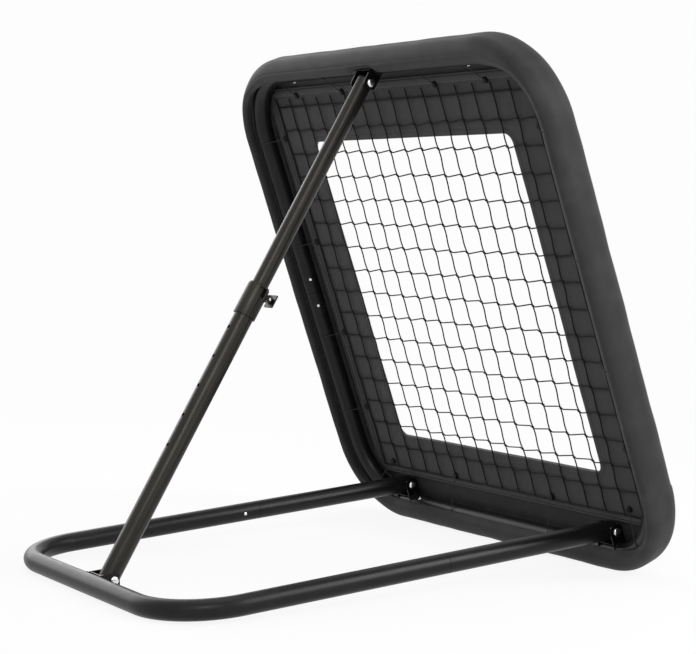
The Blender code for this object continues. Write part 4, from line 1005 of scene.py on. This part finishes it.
def bolt(name, centre, way, half_width, end, body, stands_for):
    """A plain domed bolt: a head that is a quarter ellipse on a flat seat, then the shank."""
    seat, radius, high = half_width + GAP, 0.007, 0.0042
    dome = arc((0, seat + 0.0008), 90, 4, 14, radius, high - 0.0008)
    shank = [(radius, seat + 0.0006), (radius - 0.0003, seat), (BOLT_R, seat), (BOLT_R, end), (0, end)]
    line = np.concatenate([dome, shank])
    settle(lathe(name, line, centre, way, 48), "bright_zinc", body, stands_for, 32)


def cap_nut(name, centre, way, half_width, body, stands_for):
    """A six-sided cap nut: its radius is the smaller of a hexagon's and a chamfer cone's, under a dome."""
    sides, across, bore, high = 48, 0.0130, 0.0046, 0.0062
    a = np.linspace(0, math.tau, sides, endpoint=False)
    flats = across / 2 / np.cos(a % (math.pi / 3) - math.pi / 6)
    z = np.array((0.0, 0.0004, 0.0010, 0.0052, 0.0058, high))
    cone = across / math.sqrt(3) - np.array((0.0009, 0.0004, 0, 0, 0.0004, 0.0010))
    hole = np.array(((0, high), (bore, high), (bore, 0)))
    dome = arc((0, high), 0, 90, 9, across * 0.44, 0.0040)
    radii = np.concatenate([hole[:, :1] * np.ones(sides), np.minimum(flats, cone[:, None]),
                            dome[:, :1] * np.ones(sides)])
    heights = np.concatenate([hole[:, 1], z, dome[:, 1]]) + half_width + GAP
    nut = Shape().grid(spun(radii, heights, centre, way, sides), False, True).tool(name)
    settle(nut, "bright_zinc", body, stands_for, 28)


def fasten(pieces, nodes, centre, half_width, end, body):
    """A bolt with its head at -x and a cap nut at +x. The names have {} for what tells the two apart."""
    bolt(pieces.format("pin"), centre, (-1, 0, 0), half_width, end, body, nodes.format("bolt"))
    cap_nut(pieces.format("cap"), centre, (1, 0, 0), half_width, body, nodes.format("nut"))


class REBOUNDER_OT_hinges(bpy.types.Operator):
    """Builds the two hinge brackets with their welds, bolts and cap nuts"""
    bl_idname = "rebounder.hinges"
    bl_label = "Hinges"

    def execute(self, context):
        inside = 0.036
        half = inside / 2 + EAR_THICK
        for side_name, side in SIDES:
            foot, pin = (HOOP.points((side * HALF_LEGS, 0, rise)) for rise in (0, HINGE_RISE))
            fork(f"hinge_fork_{side_name}", foot, HOOP.way(0, 0, 1), HOOP.way(*REAR), inside, 0.026,
                 HINGE_RISE, 0.0125, 0.010, "ring", f"hinge_bracket_{side_name}")
            names = "hinge_{}_" + side_name
            fasten(names, names, pin, half, -half - 0.005, "ring")
        return {"FINISHED"}


class REBOUNDER_OT_clevis(bpy.types.Operator):
    """Builds the clevis under the top tube, its bolt and its cap nut"""
    bl_idname = "rebounder.clevis"
    bl_label = "Top clevis"

    def execute(self, context):
        inside = 0.037
        half = inside / 2 + EAR_THICK
        centre = HOOP.points((0, 0, HOOP_HEIGHT))
        out = unit(TOP - centre)
        fork("prop_clevis", centre, out, np.cross(out, (1, 0, 0)), inside, 0.024,
             float(np.linalg.norm(TOP - centre)), 0.0095, 0.006, "ring", "top_clevis")
        fasten("prop_{}", "top_{}", TOP, half, -half - 0.005, "ring")
        wall = rectangle(0.0045, UPPER_R + GAP, 0.0080, inside / 2)
        spacers = Shape()
        for side in (1, -1):
            spacers.grid(spun(wall[:, 0], wall[:, 1], TOP, (side, 0, 0)), True, True)
        settle(spacers.tool("prop_spacers"), "black_plastic", "ring")
        return {"FINISHED"}


# Base

FRONT_LENGTH = 0.327        # from the hinge to the front tube's joint with the rear tube
BUTTON = 0.358              # and to the snap buttons


def plug(name, centre, out, bore, end, dome, body, stands_for):
    """A moulded end plug: a stem in the tube and a dome past its end, with a hole for the bolt."""
    depth = 0.020
    cap = arc((0, 0), 0, math.degrees(math.acos((end + GAP) / dome)), 12, dome)[:, ::-1]
    stem = [(bore - 0.0004, end + GAP), (bore - 0.0004, 0.001 - depth), (bore - 0.0010, -depth), (0, -depth)]
    obj = lathe(name, np.concatenate([cap, stem]), centre, out, 40)
    settle(cut(obj, bolt_tool(centre)), "black_plastic", body, stands_for)


class REBOUNDER_OT_base(bpy.types.Operator):
    """Builds the base: two front tubes, the bent rear tube, end plugs and snap buttons"""
    bl_idname = "rebounder.base"
    bl_label = "Base"

    def execute(self, context):
        x, seam, end = HALF_LEGS, FRONT_LENGTH, -0.0045
        corners = [(x, seam + GAP, 0), (x, BASE_LENGTH, 0), (-x, BASE_LENGTH, 0), (-x, seam + GAP, 0)]
        line = spread(bent(corners, 0.112, 28), 0.04)
        rear = Shape(BASE).pipe(line, TUBE_R, TUBE_BORE, (0, 0, 1)).tool("rear_tube")
        tip, thin = seam + 0.062, NEST_R - WALL
        profile = [(NEST_R - 0.0005, tip), (NEST_R, tip - 0.001), (NEST_R, seam + 0.0006),
                   (TUBE_R - 0.0005, seam), (TUBE_R, seam - 0.0006), (TUBE_R, end + 0.0003),
                   (TUBE_R - 0.0004, end), (TUBE_BORE, end), (TUBE_BORE, seam - 0.0015),
                   (thin, seam + 0.0015), (thin, tip)]
        head = np.concatenate([arc((0, TUBE_R), 90, 8, 8, 0.0032, 0.0027), [
            (0.0032, TUBE_R - 0.001), (0.0032, 0.0110), (0.0050, 0.0110), (0.0050, 0.0102), (0, 0.0102)]])
        for side_name, side in SIDES:
            hinge, place = (BASE.points((side * x, y, 0)) for y in (0, BUTTON))
            way = (-side, 0, 0)
            leg = straight_tube(f"front_tube_{side_name}", BASE, side * x, profile, REAR)
            cut(leg, bolt_tool(hinge), round_tool(place, way, 0.0036, 0.008, 0.020))
            cut(rear, round_tool(place, way, 0.0036, 0.008, 0.020))
            settle(leg, "black_powder_coat", "base", f"base_leg_{side_name}")
            plug(f"end_plug_{side_name}", hinge, BASE.way(0, -1, 0), TUBE_BORE, -end,
                 math.hypot(TUBE_R - GAP, GAP - end), "base", f"leg_plug_{side_name}")
            settle(lathe(f"button_dome_{side_name}", head, place, way), "bright_zinc", f"button_{side_name}",
                   f"snap_button_{side_name}")
        settle(rear, "black_powder_coat", "base", "base_rear_tube")
        return {"FINISHED"}


class REBOUNDER_OT_foot(bpy.types.Operator):
    """Builds the bracket on the rear tube that takes the prop's foot, its bolt and its cap nut"""
    bl_idname = "rebounder.foot"
    bl_label = "Foot bracket"

    def execute(self, context):
        inside = 2 * LOWER_R + 0.004
        fork("foot_fork", BASE.points((0, BASE_LENGTH, 0)), BASE.way(0, -1, 0), BASE.way(0, 0, 1), inside,
             0.024, FOOT_REACH, 0.0095, 0.006, "base", "foot_bracket")
        fasten("foot_{}", "foot_{}", FOOT, inside / 2 + EAR_THICK, inside / 2 - 0.0007, "base")
        return {"FINISHED"}


# Prop

UP = (0, 0, 1)
PROP_END = 0.006            # of each tube past its bolt


class REBOUNDER_OT_prop(bpy.types.Operator):
    """Builds the prop's two tubes and their end plugs"""
    bl_idname = "rebounder.prop"
    bl_label = "Prop tubes"

    def execute(self, context):
        bevel, bore = 0.0003, UPPER_R - 0.0012
        bottom, top = LOWER_LENGTH - 0.170, PROP_LENGTH + PROP_END
        profile = [(UPPER_R, top - bevel), (UPPER_R, bottom + bevel), (bore, bottom), (bore, top),
                   (UPPER_R - bevel, top)]
        upper = cut(straight_tube("upper_tube", PROP, 0, profile, UP), bolt_tool(TOP))
        settle(upper, "bronze_grey_paint", "strut_upper", "strut_upper_tube")
        plug("upper_plug", TOP, PROP.way(*UP), bore, PROP_END, UPPER_R + 0.0008, "strut_upper",
             "strut_top_plug")
        bore = LOWER_R - 0.0018
        profile = [(LOWER_R, LOWER_LENGTH - bevel), (LOWER_R, bevel - PROP_END), (LOWER_R - bevel, -PROP_END),
                   (bore, -PROP_END), (bore, LOWER_LENGTH), (LOWER_R - bevel, LOWER_LENGTH)]
        holes = [round_tool(PROP.points((0, 0, 0.438 - 0.053 * i)), PROP.way(*REAR), 0.0032, 0.008, 0.02)
                 for i in range(5)]
        lower = cut(straight_tube("lower_tube", PROP, 0, profile, UP), bolt_tool(FOOT), *holes)
        settle(lower, "bronze_grey_paint", "strut_lower", "strut_lower_tube")
        plug("lower_plug", FOOT, PROP.way(0, 0, -1), bore, PROP_END, LOWER_R + 0.0006, "strut_lower",
             "strut_foot_plug")
        return {"FINISHED"}


LATCH = LOWER_LENGTH + 0.0105           # height of the collar's window and lever along the prop


def collar_tube():
    """The split sleeve: a closed profile spun, then its window and its split taken out."""
    low, high, outer = LOWER_LENGTH - 0.0345, LOWER_LENGTH + 0.022, 0.0188
    wide, narrow = LOWER_R + PLAY, UPPER_R + PLAY
    rim = bent([(narrow, high), (outer - 0.0012, high), (outer - 0.0012, high - 0.0022),
                (outer, high - 0.0030), (outer, low), (wide, low), (wide, LOWER_LENGTH + GAP),
                (narrow, LOWER_LENGTH + 0.0018)], 0.0005, 3)
    box = bent(rectangle(-0.007, -0.008, 0.007, 0.008), 0.0020, 4, loop=True) + (0, LATCH)
    slit = rectangle(-0.00045, low - 0.01, 0.00045, LATCH)
    tools = [Shape().plate(edge, 0.018, PROP.points((-0.018, 0, 0)), PROP.way(*REAR), PROP.way(*UP)).tool()
             for edge in (box, slit)]
    return cut(straight_tube("split_collar", PROP, 0, rim, UP), *tools)


class REBOUNDER_OT_collar(bpy.types.Operator):
    """Builds the prop's collar with its lugs, and the lever, pin and spring that hold the prop's length"""
    bl_idname = "rebounder.collar"
    bl_label = "Collar and lever"

    def execute(self, context):
        settle(collar_tube(), "bronze_grey_paint", "strut_lower", "strut_collar", 34)
        reach, blade_back = 0.0235, 0.0082
        pin = PROP.points((0, -reach, LATCH))
        back, up = PROP.way(*REAR), PROP.way(*UP)
        lugs, lever = Shape(), Shape()
        edge = bent(rectangle(-0.0045, -0.0058, 0.0062, 0.0058), 0.0035, 6, loop=True)
        for side in (1, -1):
            lugs.plate(edge, 0.0023, pin + np.array((side * 0.00735, 0, 0)), back, up)
        settle(lugs.tool("collar_lugs"), "bronze_grey_paint", "strut_lower", bevel=0.0004)
        head = bent([(0, 0.0100), (0.0024, 0.0100), (0.0025, 0.0088), (0.0015, 0.0088), (0.0015, -0.0088),
                     (0.0025, -0.0088), (0.0024, -0.0100), (0, -0.0100)], 0.0003, 3)
        settle(lathe("lever_pin", head, pin, (1, 0, 0), 24), "bright_zinc", "strut_lower", "clip_pin")
        a, wide = np.linspace(0, 1.5 * math.tau, 60), 0.0025
        coil = np.stack([0.0043 + 0.0016 * a / a[-1], wide * np.cos(a) - reach, LATCH + wide * np.sin(a)], -1)
        spring = Shape(PROP).rod(coil, 0.0004, (1, 0, 0), 8).tool("lever_spring")
        settle(spring, "spring_steel", "strut_lower", "clip_spring")
        arms = [(-blade_back, 0.0054), (-blade_back, -0.0054)]
        hub = np.concatenate([arc((0, 0), -100, 100, 20, 0.0042), arms])
        lever.plate(hub, 0.0068, pin, back, up)
        blade = bent(rectangle(-0.0130, -0.0112, 0.0130, 0.0112), 0.0022, 6, loop=True)
        lever.plate(blade, 0.0024, pin - back * blade_back, (1, 0, 0), up)
        settle(lever.tool("release_lever"), "bronze_grey_paint", "lever", "clip_lever", bevel=0.0004)
        return {"FINISHED"}


# Stage

SEEN_WHITE = (0.982, 0.982, 0.982)
LAMPS = {                   # place, width and depth
    "top": ((0.2, -0.3, 3.4), 2.6, 2.2),
    "front": ((-2.4, -2.0, 2.0), 2.1, 1.5),
    "rear": ((-2.8, 1.9, 2.4), 1.0, 1.2),
    "left": ((2.9, 0.4, 1.5), 2.0, 3.4),
}
LIT_POINT = (0, 0, 0.4)
CAMERA_PLACE = (-2.6143, 1.6046, 0.6095)
CAMERA_WAYS = ((-0.53775, -0.84311, 0.0), (0.0591, -0.0377, 0.99754), (-0.84103, 0.53643, 0.07010))


def hidden_springs():
    """The solids that stay as they are, the buttons' leaf springs inside the tubes, get their finish."""
    for node in frame["nodes"].values():
        if not node.hide_render:
            node.data.materials.clear()
            node.data.materials.append(material("spring_steel"))


def placed(obj, place, right, up, back):
    """Adds a lamp or a camera that looks away from its back direction."""
    bpy.context.scene.collection.objects.link(obj)
    turn = Matrix(np.stack([right, up, back], 1).tolist()).to_4x4()
    obj.matrix_world = Matrix.Translation(place) @ turn
    return obj


def lamp(name, place, power, width, depth):
    """A soft rectangular lamp that points at the middle of the object."""
    light = bpy.data.lights.new(name, "AREA")
    light.shape = "RECTANGLE"
    light.size, light.size_y, light.energy = width, depth, power
    back = unit(np.array(place) - LIT_POINT)
    right = unit(np.cross((0.0, 1.0, 0.001), back))
    placed(bpy.data.objects.new(name, light), place, right, np.cross(back, right), back)


def seen_white(paint):
    """1 where the camera, a mirror or glass looks, 0 for the light that falls on things."""
    rays, names = paint.tree.nodes.new("ShaderNodeLightPath").outputs, ("Camera", "Glossy", "Transmission")
    camera, glossy, through = (Wire(paint, rays[f"Is {name} Ray"]) for name in names)
    return camera.math("MAXIMUM", glossy).math("MAXIMUM", through)


def white_floor():
    """A white floor that keeps the object's shadow: plain white mixed with a lit white, which fades out
    with the distance from the object, so that the floor ends in the white of the room."""
    floor = bpy.data.materials.new("white_floor")
    paint = Paint(floor)
    lit = paint.node("BsdfDiffuse", None, {"Color": (0.9, 0.9, 0.9)})
    plain = paint.node("Emission", None, {"Color": SEEN_WHITE, "Strength": 1.0})
    co = paint.places()
    far = (paint.axis(co, 0) ** 2 + paint.axis(co, 1) ** 2) ** 0.5
    share = seen_white(paint) * (0.90 + 0.10 * far.ramp(0.7, 2.6))
    paint.show(paint.node("MixShader", None, {0: share, 1: lit, 2: plain}))
    return floor


def world_light(fill):
    """White where it is seen, and even light of the given strength where it falls on things."""
    world = bpy.context.scene.world = bpy.data.worlds.new("studio")
    paint = Paint(world)
    light = paint.node("Background", None, {"Color": (1, 1, 1), "Strength": fill})
    seen = paint.node("Background", None, {"Color": SEEN_WHITE, "Strength": 1.0})
    paint.show(paint.node("MixShader", None, {0: seen_white(paint), 1: light, 2: seen}), "OutputWorld")


class REBOUNDER_OT_studio(bpy.types.Operator):
    """Builds the pale floor, the plain studio light and the camera"""
    bl_idname = "rebounder.studio"
    bl_label = "Studio"

    def execute(self, context):
        scene, look = context.scene, context.scene.rebounder_studio
        scene.view_settings.view_transform = "Standard"
        hidden_springs()
        square = rectangle(-40, -40, 40, 40)
        floor = Shape().plate(square, 0.01, (0, 0, -0.0052), (1, 0, 0), REAR).tool("floor")
        floor.data.materials.append(white_floor())
        world_light(look.fill)
        for name, (place, width, depth) in LAMPS.items():
            lamp(f"{name}_lamp", place, getattr(look, name), width, depth)
        camera = bpy.data.objects.new("camera", bpy.data.cameras.new("camera"))
        placed(camera, CAMERA_PLACE, *CAMERA_WAYS)
        camera.data.sensor_width = 36
        camera.data.lens = look.lens
        scene.camera = camera
        return {"FINISHED"}


OPERATORS = (REBOUNDER_OT_hoop, REBOUNDER_OT_edge, REBOUNDER_OT_panel, REBOUNDER_OT_net,
             REBOUNDER_OT_ties, REBOUNDER_OT_hinges, REBOUNDER_OT_clevis, REBOUNDER_OT_base,
             REBOUNDER_OT_foot, REBOUNDER_OT_prop, REBOUNDER_OT_collar, REBOUNDER_OT_studio)
GROUPS = {"rebounder_net": NetSizes, "rebounder_soft": SoftSizes, "rebounder_colours": Colours,
          "rebounder_studio": Studio}


class REBOUNDER_PT_sidebar(bpy.types.Panel):
    """Lists the rebounder's sizes, colours and building steps"""
    bl_idname = "REBOUNDER_PT_sidebar"
    bl_label = "Folding ball rebounder"
    bl_space_type = "VIEW_3D"
    bl_region_type = "UI"
    bl_category = "Rebounder"

    def draw(self, context):
        for key, group in GROUPS.items():
            box = self.layout.box()
            for name in group.__annotations__:
                box.prop(getattr(context.scene, key), name)
        for operator in OPERATORS:
            self.layout.operator(operator.bl_idname)


def register():
    for group in (*GROUPS.values(), *OPERATORS, REBOUNDER_PT_sidebar):
        bpy.utils.register_class(group)
    for key, group in GROUPS.items():
        setattr(bpy.types.Scene, key, PointerProperty(type=group))


def unregister():
    for key in GROUPS:
        delattr(bpy.types.Scene, key)
    for group in reversed((*GROUPS.values(), *OPERATORS, REBOUNDER_PT_sidebar)):
        bpy.utils.unregister_class(group)


def main():
    register()
    for operator in OPERATORS:
        getattr(bpy.ops.rebounder, operator.bl_idname.split(".")[1])()


if __name__ == "__main__":
    main()
